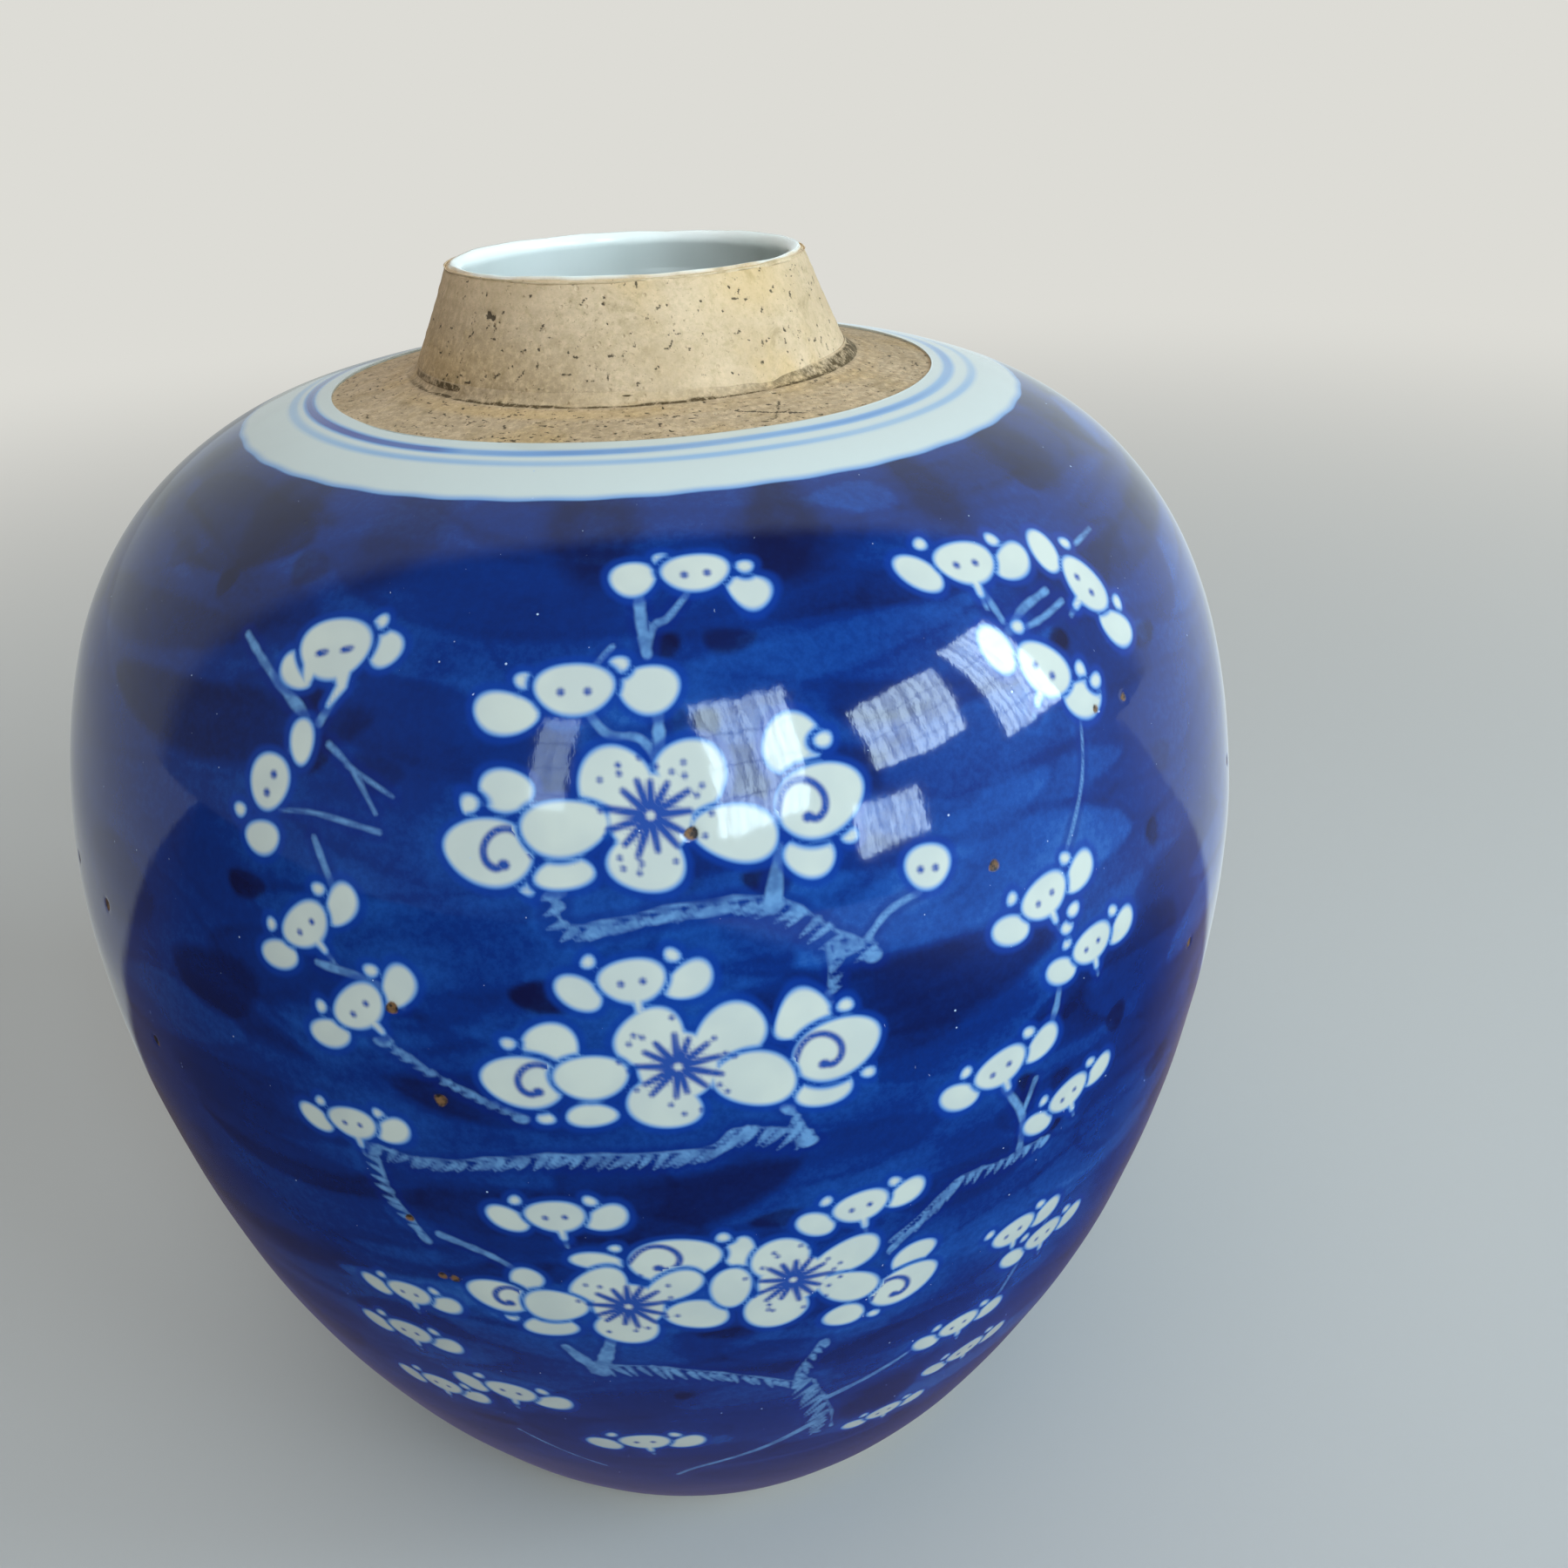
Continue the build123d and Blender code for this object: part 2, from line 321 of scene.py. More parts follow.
class Painting:
    """Layers of brushwork over the glaze, each a grid of rows down the outline and columns around the jar.
    A place is (degrees around from the front, mm down the outline from the glaze's top edge). In white, ink,
    twig and pit a value is the distance in mm inside the painted shape. In dark it runs from 0 to 1."""

    GAP = 1.05  # width of the dark line left around white shapes

    def __init__(self, rows, columns):
        self.turn = all_around(columns)
        self.down = rows.along[:, 0]
        self.radius = rows.radius[:, 0]
        shape = (len(self.down), columns)
        self.white, self.ink, self.twig, self.pit = (np.full(shape, -FAR) for _ in range(4))
        self.dark = np.zeros(shape)
        self.centre, self.hand = 0.0, 1
        self.random = np.random.default_rng(SEED)

    def window(self, place, reach):
        """The cells within reach of a place, with their x to the right and y up from it, in mm."""
        turn, down = self.centre + self.hand * place[0], place[1]
        rows = np.flatnonzero(abs(self.down - down) < reach)
        around = angle_from(self.turn, turn)
        width = self.radius[rows].min()
        columns = np.flatnonzero(abs(np.radians(around)) * width < reach)
        x = self.hand * self.radius[rows][:, None] * np.radians(around[columns])[None, :]
        y = (down - self.down[rows])[:, None] + 0 * x
        return np.ix_(rows, columns), x, y

    def near(self, place, x, y):
        """The place x mm to the right of another and y mm above it."""
        down = place[1] - y
        return place[0] + np.degrees(x / np.interp(down, self.down, self.radius)), down

    def reserve(self, cells, shape, gap=GAP):
        """Leaves a white shape, on top of the ones already there and parted from them by a line."""
        white = self.white[cells]
        self.white[cells] = np.maximum(np.minimum(white, -shape - gap), shape)
        self.ink[cells] = np.where(shape > -gap, -FAR, self.ink[cells])

    def dots(self, cells, x, y, places, size):
        """Round dots of ink, size mm in radius."""
        for at in places:
            add(self.ink, cells, ellipse(x, y, at, (size, size)))

    # ---- motifs

    def bud(self, place, size, tilt=0.0, eyes=True, point=0.0):
        """A single white drop, with two dark dots on it if it has eyes."""
        cells, x, y = self.window(place, max(size) + 7)
        self.reserve(cells, petal(x, y, (0, 0), size, tilt, point))
        if eyes:
            u, v = leaning(x, y, (0, 0), tilt)
            spread, low = size[0] * 0.34, -size[1] * 0.12
            self.dots(cells, u, v, [(-spread, low), (spread, low)], 0.46)

    def buds(self, table):
        """Plain buds, each with its place, size, tilt and point."""
        for place, size, tilt, point in table:
            self.bud(place, size, tilt, False, point)

    def trio(self, place, tilt=0.0, size=1.0, left=True):
        """A round flower seen from the side: an oval with two dark dots between two drop-shaped petals."""
        cells, x, y = self.window(place, 17 * size)
        u, v = leaning(x, y, (0, 0), tilt + self.random.uniform(-4, 4))
        u, v = u / size, v / size
        droop = self.random.uniform(-0.4, 0.4, 4)
        for painted, at, half, lean, point in (
            (True, (-4.9, 2.8), (0.85, 0.7), 40, 0),
            (True, (5.1, 2.7), (0.95, 0.75), -35, 0),
            (left, (-6.5, -1.0 + droop[0]), (3.0, 2.0), -34 + 14 * droop[2], -0.15),
            (True, (6.7, -0.6 + droop[1]), (3.1, 2.1), 28 + 14 * droop[3], 0.2),
            (True, (0, 0), (4.0, 2.8), 0, 0.08 * self.hand),
        ):
            if painted:
                self.reserve(cells, petal(u, v, at, half, lean, point) * size, 0.8)
        stem = stroke(u, v, [(0.3, -1.6), (0.5, -4.2)], [1.2, 0.75]) * size
        add(self.white, cells, np.where(v < -1.6, stem, -FAR))
        add(self.twig, cells, stroke(u, v, [(0.5, -4.2), (0.7, -6.0)], [0.8, 0.5]))
        self.dots(cells, u, v, [(-1.35, -0.35), (1.3, -0.2)], 0.42)

    def blossom(self, place, petals, tilt):
        """An open flower. Each petal is (x, y, half its length outwards, half its width) about the middle."""
        cells, x, y = self.window(place, 24)
        for px, py, length, width in petals:
            lean = np.degrees(np.arctan2(py, px))
            self.reserve(cells, petal(x, y, (px, py), (length, width), lean, 0.05), 0.75)
        heart, stamens = 4.9, 13
        add(self.white, cells, heart - np.hypot(x, y))
        for k in range(stamens):
            a = radians(tilt) + 2 * pi * k / stamens + self.random.uniform(-0.08, 0.08)
            reach = heart + 0.4 * cos(2 * a) + self.random.uniform(-0.8, 0.5)
            add(self.ink, cells, stroke(x, y, [(0, 0), (cos(a) * reach, sin(a) * reach)], [1.25, 0.75]))
            for far in (5.9, 7.0):
                if self.random.uniform() < 0.62:
                    b = a + self.random.uniform(-0.12, 0.3)
                    out = far + self.random.uniform(-0.3, 0.3)
                    self.dots(cells, x, y, [(cos(b) * out, sin(b) * out)], 0.34)
        add(self.ink, cells, ellipse(x, y, (0, 0), (1.5, 1.4)))
        eye = ellipse(x, y, (0, 0), (0.55, 0.55))
        self.ink[cells] = np.minimum(self.ink[cells], -eye)

    def shell(self, place, size, tilt=0.0, hand=1):
        """A half-open flower: a rounded shape with a line that comes in from its edge and curls to a blot."""
        cells, x, y = self.window(place, max(size) + 7)
        u, v = leaning(x, y, (0, 0), tilt)
        u = u * hand
        self.reserve(cells, petal(u, v, (0, 0), size, 0, 0.1, 0.1))
        path = np.array(curve_through(CURL)) * size
        add(self.ink, cells, stroke(u, v, path, np.linspace(0.75, 0.95, len(path))))
        add(self.ink, cells, ellipse(u, v, path[-1], (0.72, 0.62)))

    def open_flower(self, at, lobes, shells, petals, tilt=0.0):
        """An open flower with single petals and half-open flowers around it, all placed from its middle.
        A lobe is (x, y, half its length, half its width, tilt, point)."""
        cells, x, y = self.window(at, 24)
        for px, py, length, width, lean, point in lobes:
            self.reserve(cells, petal(x, y, (px, py), (length, width), lean, point))
        for right, above, size, lean, hand in shells:
            self.shell(self.near(at, right, above), size, lean, hand)
        self.blossom(at, petals, tilt)

    def branch(self, places, widths, hatch):
        """A pale twig through places. A thick one is hatched: slanting dashes beside a paler upper edge."""
        turns, downs = np.transpose(places)
        middle = (turns.mean(), downs.mean())
        cells, x, y = self.window(middle, max(np.ptp(turns) * MM_PER_DEGREE, np.ptp(downs)) / 2 + 6)
        level = np.interp(downs, self.down, self.radius)
        points = np.stack([np.radians(turns - middle[0]) * level, middle[1] - downs], axis=1)
        path = np.array(curve_through(points))
        widths = np.linspace(*widths, len(path))
        if hatch:
            wood = self.dashes(x, y, path, widths)
        else:
            wood = stroke(x, y, path, widths * self.random.uniform(0.75, 1.1, len(path)))
        add(self.twig, cells, wood)
        self.white[cells] = np.minimum(self.white[cells], np.where(wood > -0.6, -1.5, self.white[cells]))

    def dashes(self, x, y, path, widths):
        """Short slanting strokes across a path, with a broken line along its upper side and pale knots."""
        gone = distance_along(path)
        wood = np.full(x.shape, -FAR)
        way = np.arctan2(path[-1][1] - path[0][1], path[-1][0] - path[0][0])
        slant = 1 if abs(way) < pi / 2 else -1
        for at in np.arange(0.4, gone[-1], DASH_PITCH):
            at += self.random.uniform(-0.35, 0.35)
            middle = np.array([np.interp(at, gone, path[:, k]) for k in (0, 1)])
            reach = np.interp(at, gone, widths) * self.random.uniform(0.42, 0.66)
            lean = way + slant * radians(self.random.uniform(30, 58))
            end = np.array([cos(lean), sin(lean)]) * reach
            thick = self.random.uniform(0.8, 1.2)
            dash = stroke(x, y, [middle - end, middle, middle + end], [0.15, thick * 0.8, thick])
            wood = np.maximum(wood, dash)
        upper = path + slant * np.array([-sin(way), cos(way)]) * widths[:, None] * 0.55
        broken = 0.15 + 0.6 * np.maximum(0, np.sin(gone * 0.8 + path[0][0]))
        wood = np.maximum(wood, stroke(x, y, upper, broken))
        for knot in (path[0], path[-1]):
            wood = np.maximum(wood, petal(x, y, knot, (1.2, 0.7), np.degrees(way) + 30, 0.2))
        return wood

    def blot(self, place, size, strength=1.0, tilt=0.0, edge=1.2):
        """A dark overlap of wet cobalt."""
        cells, x, y = self.window(place, max(size) * 1.6 + 3)
        point, bend = self.random.uniform(-0.3, 0.3), self.random.uniform(-0.2, 0.2)
        shape = petal(x, y, (0, 0), size, tilt, point, bend)
        add(self.dark, cells, strength * soft(shape, -edge, edge * 0.4))

    def iron_pit(self, place, size):
        """A pit that a speck of iron left in the firing."""
        cells, x, y = self.window(place, 4)
        add(self.pit, cells, petal(x, y, (0, 0), (size * 1.15, size), self.random.uniform(0, 180), 0.2))

    # ---- ground

    def wash(self):
        """The cobalt ground, from 0 for the darkest overlaps to 1 for thin pale wash: flat dabs with clear
        edges, each a little darker or lighter than what it covers, and paler beside the white shapes."""
        rng = self.random
        tone = np.full(self.white.shape, 0.45)
        for _ in range(DABS):
            place = (rng.uniform(-180, 180), rng.uniform(17, 228))
            length, width = rng.uniform(7, 30), rng.uniform(2.5, 7.5)
            cells, x, y = self.window(place, length * 1.15)
            y = y - 0.3 * x**2 / length * rng.uniform(-0.4, 0.4) - rng.uniform(-0.16, 0.16) * x
            shape = petal(x, y, (0, 0), (length, width), 0, rng.uniform(-0.4, 0.4), rng.uniform(-0.2, 0.2))
            cover = soft(shape, -0.6, rng.uniform(0.5, 2.4)) * rng.uniform(0.3, 0.75)
            level = rng.choice([*DAB_LEVELS], p=[*DAB_LEVELS.values()])
            rim = soft(shape, -0.8, 0.0) * (1 - soft(shape, 0.2, 1.5))
            tone[cells] += cover * (level - tone[cells]) - 0.05 * rim
        for _ in range(BLOTS):
            place = (rng.uniform(-180, 180), rng.uniform(20, 225))
            self.blot(place, (rng.uniform(1.2, 4.2), rng.uniform(1.0, 2.6)), rng.uniform(0.25, 0.85), 0, 0.8)
        for k in range(CLOUDS):
            place = (-45 + CLOUD_PITCH * k + rng.uniform(-2, 2), rng.uniform(19, 24))
            size = (rng.uniform(6, 10), rng.uniform(3, 5))
            self.blot(place, size, rng.uniform(0.5, 0.85), 90 + rng.uniform(-14, 14), 3)
        beside = soft(self.white, -6.0, -1.0) * soft(self.down, 20, 40)[:, None]
        return np.clip(tone + 0.07 * beside + 0.05 * soft(self.twig, -3.0, -0.5), 0, 1)

    def border(self):
        """The white band under the bare ring: distance inside it, and the strength of its two blue rings."""
        turn = np.radians(self.turn)
        down = np.minimum(self.down, self.down[-1] - self.down)[:, None]
        waves = rings = 0
        for lobes in (2, 3, 5, 13, 41):
            height = self.random.uniform(0.02, 0.09)
            waves = waves + height * np.sin(lobes * turn + self.random.uniform(0, 2 * pi))
        for level, width, strength in ((3.1, 1.0, 1.0), (6.3, 0.85, 0.66)):
            drift = 0.25 * np.sin(turn + level) + 0.1 * np.sin(5 * turn + 3 * level)
            line = soft(width - abs(down - level - drift), -0.35, 0.6)
            loaded = soft(np.cos(turn + radians(75)), 0.66, 0.76) * (strength > 0.9)
            fade = 0.54 + 0.4 * loaded + 0.06 * np.sin(7 * turn + level)
            rings = np.maximum(rings, line * strength * fade)
        return BAND_WIDTH + 1.3 * waves - down, rings * (down < 12)


def paint_branches(p):
    """The plum tree's twigs: whether each is thick enough to be hatched, the widths of its ends, its path."""
    for hatch, widths, *path in (
        (True, (4.8, 4.2), (10, 182), (9.6, 174), (8.6, 167), (7.3, 159.5)),
        (False, (1.8, 0.8), (10, 176), (5, 183), (-3, 190), (-6, 195)),
        (True, (2.4, 3.8), (7.3, 160), (1, 153.5), (-6, 149.5), (-10.6, 149.5)),
        (False, (1.4, 3.0), (-12.8, 142.5), (-11.4, 146.5), (-10.2, 149.5)),
        (True, (2.6, 1.6), (7.5, 159), (8.2, 153), (9.5, 148)),
        (False, (2.8, 1.2), (-10.2, 148.5), (-9.2, 143), (-8.4, 138)),
        (True, (3.2, 2.0), (15, 129), (19, 123.3), (21, 120.5), (25, 120.8), (29.5, 120.4)),
        (True, (2.2, 3.2), (-25, 105.8), (-20, 106.7), (-11, 104.2), (0, 104.2), (3, 101.7), (8, 104.2)),
        (True, (2.2, 0.8), (7.5, 104), (6.5, 98.3)),
        (True, (2.4, 1.4), (-25.5, 105), (-25, 113), (-22.5, 121)),
        (False, (1.5, 0.7), (-21, 119.5), (-17, 122.5), (-14, 127)),
        (True, (2.4, 3.2), (-9, 66.7), (-8, 71.7), (0, 70), (6.5, 70.8), (11, 76.7), (13.5, 79)),
        (False, (2.6, 1.0), (6.5, 70), (7.5, 63)),
        (True, (2.4, 1.0), (11, 77), (10.5, 81.7), (9.5, 85.5)),
        (False, (0.9, 0.5), (-27.0, 50.5), (-24.6, 53.2), (-22.4, 58.0)),
        (False, (0.6, 0.4), (-25.2, 52.6), (-21.0, 55.8)),
        (False, (0.4, 0.7), (-31, 59.5), (-27.5, 59.0), (-22, 60.2)),
        (False, (0.9, 1.5), (-38.7, 39.0), (-35, 42.5), (-30, 47.2)),
        (False, (1.1, 1.1), (-26.9, 43.7), (-28.3, 48.1)),
        (False, (1.0, 1.0), (-29.6, 47.6), (-30.5, 52)),
        (False, (0.9, 0.9), (-27.6, 62), (-25.8, 68)),
        (False, (1.1, 1.1), (-27.4, 78), (-22.6, 79.4), (-20.6, 82)),
        (True, (1.3, 1.0), (-22.6, 87.5), (-18.4, 92), (-12.6, 97)),
        (False, (0.7, 0.7), (45.4, 37.0), (49.7, 36.2)),
        (False, (1.1, 1.1), (31.2, 44.2), (34, 42), (37.8, 40.9)),
        (False, (0.9, 0.9), (31.2, 44.2), (35, 44.2), (39.1, 43)),
        (False, (1.0, 1.0), (30.6, 37), (31.2, 42.5)),
        (False, (0.35, 0.7), (36, 57.5), (34.4, 66), (30.8, 75.5)),
        (False, (1.2, 1.2), (29.7, 90.7), (29.4, 95), (28.6, 99.5)),
        (False, (1.2, 1.2), (24.3, 105.3), (26.5, 112.5), (26.6, 119.4)),
        (False, (0.9, 0.9), (27.6, 106.7), (26.4, 112.5)),
        (False, (0.8, 0.8), (33.6, 137), (32.3, 142)),
        (False, (0.8, 0.8), (30.1, 148.2), (28.4, 156)),
        (False, (0.4, 1.6), (20, 158.5), (16, 162.5), (10.6, 167)),
        (False, (0.6, 0.6), (-22, 176), (-19, 182), (-14, 190)),
        (False, (1.4, 1.4), (-1.4, 30.8), (-1.3, 35), (-1, 38.6)),
        (False, (0.9, 0.9), (3.0, 30.9), (1, 34), (-0.3, 35), (-1, 38.3)),
        (False, (1.4, 1.4), (-0.5, 46.2), (-0.6, 52.2)),
        (False, (1.0, 1.0), (-6, 45), (-4.4, 47.9), (-2, 48.6), (-0.8, 51.5)),
        (False, (0.7, 0.7), (-3.8, 37.2), (-5.2, 39.4)),
        (False, (0.9, 0.9), (17.6, 72.2), (15.0, 73.6), (13.2, 76.4)),
    ):
        p.branch(path, widths, hatch)


def paint_sprays(p):
    """The two sprays of buds above the open flowers."""
    p.buds(
        (
            ((-1.9, 28.3), (2.7, 2.4), 0, 0),
            ((8.5, 31.5), (2.7, 2.2), -28, 0.3),
            ((-12.4, 45.2), (3.9, 2.5), -8, -0.15),
            ((-1.0, 42.8), (3.5, 2.9), 4, 0),
            ((0.9, 25.7), (0.9, 0.8), 0, 0),
            ((8.7, 28.0), (1.0, 0.8), 0, 0),
            ((-11.1, 41.2), (1.1, 0.9), 0, 0),
            ((-3.3, 39.5), (1.1, 0.9), 0, 0),
        )
    )
    p.bud((4.0, 28.0), (4.1, 2.6))
    p.bud((-7.0, 42.3), (4.7, 3.1))


def paint_upper_flower(p):
    """The upper flower between a curled one on its left and a half-open one on its right."""
    lobes = (
        (-16.8, 3.4, 3.2, 2.5, 0, 0),
        (-21.4, 1.6, 1.2, 1.0, 60, 0.3),
        (-15.4, -7.9, 1.1, 0.9, 0, 0.3),
        (-10.6, -6.5, 3.6, 1.8, 8, 0),
        (17.3, 6.6, 3.6, 3.6, 20, 0),
        (21.2, 6.4, 1.1, 0.9, 0, 0),
        (18.6, -7.2, 3.2, 2.4, -20, 0),
        (23.8, -5.6, 1.0, 0.8, 0, 0),
    )
    shells = ((-19.6, -3.9, (5.4, 4.0), -8, 1), (20.4, -0.6, (5.6, 4.3), 14, -1))
    upper = ((4.9, 4.3, 4.2, 4.3), (-3.9, 4.0, 4.3, 4.3))
    lower = ((9.9, -3.0, 5.2, 3.3), (-10.2, -1.0, 5.2, 3.3), (-0.8, -5.4, 3.6, 4.5))
    p.open_flower((-1.6, 57.7), lobes, shells, upper + lower)


def paint_middle_flower(p):
    """The flower in the middle, drawn like the upper one."""
    lobes = (
        (-15.2, 3.7, 3.4, 3.0, 0, 0),
        (-20.5, 3.8, 0.9, 0.7, 0, 0),
        (-17.0, -7.1, 1.1, 0.8, 0, 0),
        (-11.2, -6.6, 3.2, 1.7, 4, 0),
        (15.4, 4.8, 3.7, 3.1, 35, 0.3),
        (21.2, 5.1, 1.0, 0.8, 0, 0),
        (18.2, -6.7, 3.7, 2.3, 6, 0),
        (24.0, -5.4, 0.9, 0.7, 0, 0),
    )
    shells = ((-19.4, -1.7, (5.2, 3.7), -6, 1), (20.0, -0.8, (5.8, 4.2), 16, -1))
    upper = ((-3.0, 4.2, 3.9, 4.4), (6.6, 3.9, 4.6, 3.8))
    lower = ((9.4, -3.1, 5.3, 3.9), (-10.7, -0.9, 4.6, 3.1), (-2.1, -5.4, 3.5, 4.7))
    p.open_flower((-1.1, 89.7), lobes, shells, upper + lower, 10)


def paint_lower_flowers(p):
    """The pair of flowers low down, with curled ones to the sides and between them."""
    lobes = (
        (-3.3, 9.8, 3.6, 1.6, -8, 0),
        (-0.6, 12.3, 0.8, 0.6, 0, 0),
        (-13.5, 5.4, 2.4, 2.2, 30, 0),
        (-11.5, -5.3, 3.9, 2.2, 5, 0),
        (-16.9, -3.9, 0.9, 0.7, 0, 0),
        (15.9, 9.6, 2.0, 3.0, -10, 0),
        (13.8, 13.0, 0.9, 0.8, 0, 0),
    )
    shells = ((-18.2, 0.9, (4.5, 3.3), -14, 1), (7.2, 9.4, (6.2, 4.1), 4, -1))
    upper = ((6.5, 3.9, 4.5, 2.6), (-3.5, 4.7, 3.1, 4.4))
    lower = ((9.2, -2.8, 4.4, 3.2), (-10.2, -0.2, 4.5, 3.4), (-0.6, -5.0, 3.8, 4.4))
    p.open_flower((-6.8, 132.1), lobes, shells, upper + lower, 5)
    lobes = ((18.0, -2.0, 3.6, 2.5, 25, 0), (7.6, -11.4, 3.1, 2.4, -10, 0), (12.2, -13.2, 0.9, 0.7, 0, 0))
    shells = ((16.9, -8.2, (5.4, 3.8), 20, -1),)
    upper = ((-8.6, 0.6, 2.8, 4.2), (-1.8, 5.2, 3.8, 4.1), (7.8, 2.6, 4.9, 3.3))
    lower = ((8.1, -4.6, 4.9, 3.1), (-2.5, -5.8, 4.2, 4.6))
    p.open_flower((6.5, 130.3), lobes, shells, upper + lower)


def paint_side_flowers(p):
    """The small flowers seen from the side, each with its place, tilt and size."""
    for place, tilt, size in (
        ((-28.4, 73.4), 43, 0.95),
        ((-24.2, 83.1), 38, 1.0),
        ((-26.4, 101.5), 3, 0.9),
        ((-26.0, 135.0), -5, 0.85),
        ((-28.2, 147.0), -8, 0.9),
        ((-20.1, 159.8), -6, 1.0),
        ((-28.3, 164.0), -10, 0.85),
        ((-8.3, 175.6), -2, 1.0),
        ((-3.8, 77.6), 2, 1.0),
        ((-11.3, 113.6), 2, 1.0),
        ((12.0, 118.2), 0, 0.98),
        ((30.6, 33.6), -14, 1.12),
        ((43.3, 42.4), -68, 1.12),
        ((33.6, 50.2), -42, 1.15),
        ((28.6, 78.7), 10, 1.0),
        ((33.3, 88.9), 5, 0.95),
        ((23.9, 101.8), 12, 1.05),
        ((31.7, 113.3), 10, 0.95),
        ((32.6, 145.1), 0, 0.95),
        ((24.0, 158.5), 6, 0.9),
        ((27.1, 172.2), 4, 0.9),
        ((18.4, 184.0), 0, 0.8),
    ):
        p.trio(place, tilt, size)
    p.trio((27.9, 138.4), left=False)
    p.bud((18.6, 69.3), (3.1, 2.8), -8)
    p.buds((place, (1.1, 0.9), 20, 0) for place in ((30.6, 84.4), (31.4, 82.4), (39.0, 54.5)))


def paint_left_cluster(p):
    """The large bud high on the left, with two slit eyes and two legs, and the upright flower below it."""
    large, upright = (-28.7, 38.6), (-32.2, 56.2)
    p.buds(
        (
            ((-31.8, 42.4), (2.9, 1.9), -32, -0.2),
            ((-23.7, 38.0), (2.1, 2.4), -20, 0),
            ((-24.9, 34.5), (1.0, 0.8), 50, 0),
            (large, (5.0, 4.0), 10, 0),
        )
    )
    cells, x, y = p.window(large, 14)
    for leg in ([(2.0, -2.2), (2.6, -4.6), (1.4, -7.2)], [(-2.6, -2.2), (-2.6, -4.4), (-2.9, -5.2)]):
        add(p.white, cells, stroke(x, y, leg, [2.6, 1.4, 0.5]))
    for at in ((-1.6, -0.9), (1.8, 0.0)):
        add(p.ink, cells, ellipse(x, y, at, (0.95, 0.42), 18))
    p.buds(
        (
            ((-29.6, 50.6), (1.7, 2.8), 8, 0),
            ((-32.5, 63.4), (2.7, 2.1), 12, 0),
            ((-34.9, 60.6), (0.9, 0.8), 0, 0),
            (upright, (3.0, 3.5), -8, 0),
        )
    )
    cells, x, y = p.window(upright, 5)
    p.dots(cells, x, y, [(0.6, 0.9), (-0.2, -1.5)], 0.5)


def paint_marks(p):
    """Pooled cobalt and the iron pits that the firing left."""
    for place, size in (
        ((0.5, 37.5), (1.7, 1.5)),
        ((6.4, 66.6), (3.0, 2.0)),
        ((-10, 79.5), (4.2, 2.0)),
        ((26.5, 108), (2.2, 3.0)),
        ((29.5, 117.6), (2.6, 2.0)),
        ((-29.5, 45.2), (1.8, 1.5)),
        ((-29.0, 51.6), (3.6, 2.4)),
        ((-34, 70), (3.0, 1.6)),
        ((3.2, 47.5), (1.4, 1.8)),
        ((-3.4, 157.7), (1.3, 1.0)),
        ((36.5, 47.5), (1.6, 1.4)),
    ):
        p.blot(place, size, 0.95, 0, 0.7)
    for place, size in (
        ((1.2, 60.2), 0.75),
        ((-21.5, 82.5), 0.75),
        ((-18.5, 95.2), 0.8),
        ((24.2, 72.0), 0.7),
        ((-23.4, 117.4), 0.6),
        ((-22.0, 128.8), 0.6),
        ((-20.9, 129.0), 0.6),
        ((-55.0, 85.0), 0.8),
        ((-70.0, 104.0), 0.7),
        ((38.0, 58.0), 0.5),
        ((42.0, 58.5), 0.5),
    ):
        p.iron_pit(place, size)


TREES = ((120, 1), (-120, -1), (0, 1))  # where each tree stands, in degrees from the front, and its hand
MOTIFS = (
    paint_branches,
    paint_sprays,
    paint_upper_flower,
    paint_middle_flower,
    paint_lower_flowers,
    paint_side_flowers,
    paint_left_cluster,
    paint_marks,
)


def painted_layers(rows):
    """Paints a plum tree three times around the jar, once the other way round, and gives the layers."""
    p = Painting(rows, COLUMNS)
    for p.centre, p.hand in TREES:
        for paint in MOTIFS:
            paint(p)
    p.centre, p.hand = 0, 1
    band, rings = p.border()
    return {
        "white": p.white,
        "ink": p.ink,
        "twig": p.twig,
        "tone": p.wash(),
        "dark": p.dark,
        "pit": p.pit,
        "band": band,
        "rings": rings,
    }


# ---------------------------------------------------------------- materials


def srgb(red, green, blue):
    """A colour given as it looks on screen, 0 to 255, as the linear values that Blender mixes."""
    parts = [c / 255 for c in (red, green, blue)]
    return (*(c / 12.92 if c <= 0.04045 else ((c + 0.055) / 1.055) ** 2.4 for c in parts), 1.0)


class Wiring:
    """Short ways to wire a node tree. A value may be a number, a colour or another node's output."""

    def __init__(self, tree):
        self.tree = tree

    def node(self, kind, inputs=None, **settings):
        made = self.tree.nodes.new(kind)
        for key, value in settings.items():
            setattr(made, key, value)
        for key, value in (inputs or {}).items():
            self.feed(made.inputs[key], value)
        return made

    def feed(self, socket, value):
        if isinstance(value, bpy.types.NodeSocket):
            self.tree.links.new(value, socket)
        else:
            socket.default_value = value

    def step(self, value, low, high, start=0.0, end=1.0):
        """Goes smoothly from start to end as value goes from low to high."""
        inputs = {"Value": value, "From Min": low, "From Max": high, "To Min": start, "To Max": end}
        return self.node("ShaderNodeMapRange", inputs, interpolation_type="SMOOTHSTEP").outputs["Result"]

    def math(self, operation, a, b):
        return self.node("ShaderNodeMath", {0: a, 1: b}, operation=operation).outputs[0]

    def times(self, a, b):
        return self.math("MULTIPLY", a, b)

    def mix(self, amount, below, above):
        made = self.node("ShaderNodeMix", {"Factor": amount}, data_type="RGBA")
        self.feed(made.inputs[6], below)
        self.feed(made.inputs[7], above)
        return made.outputs[2]


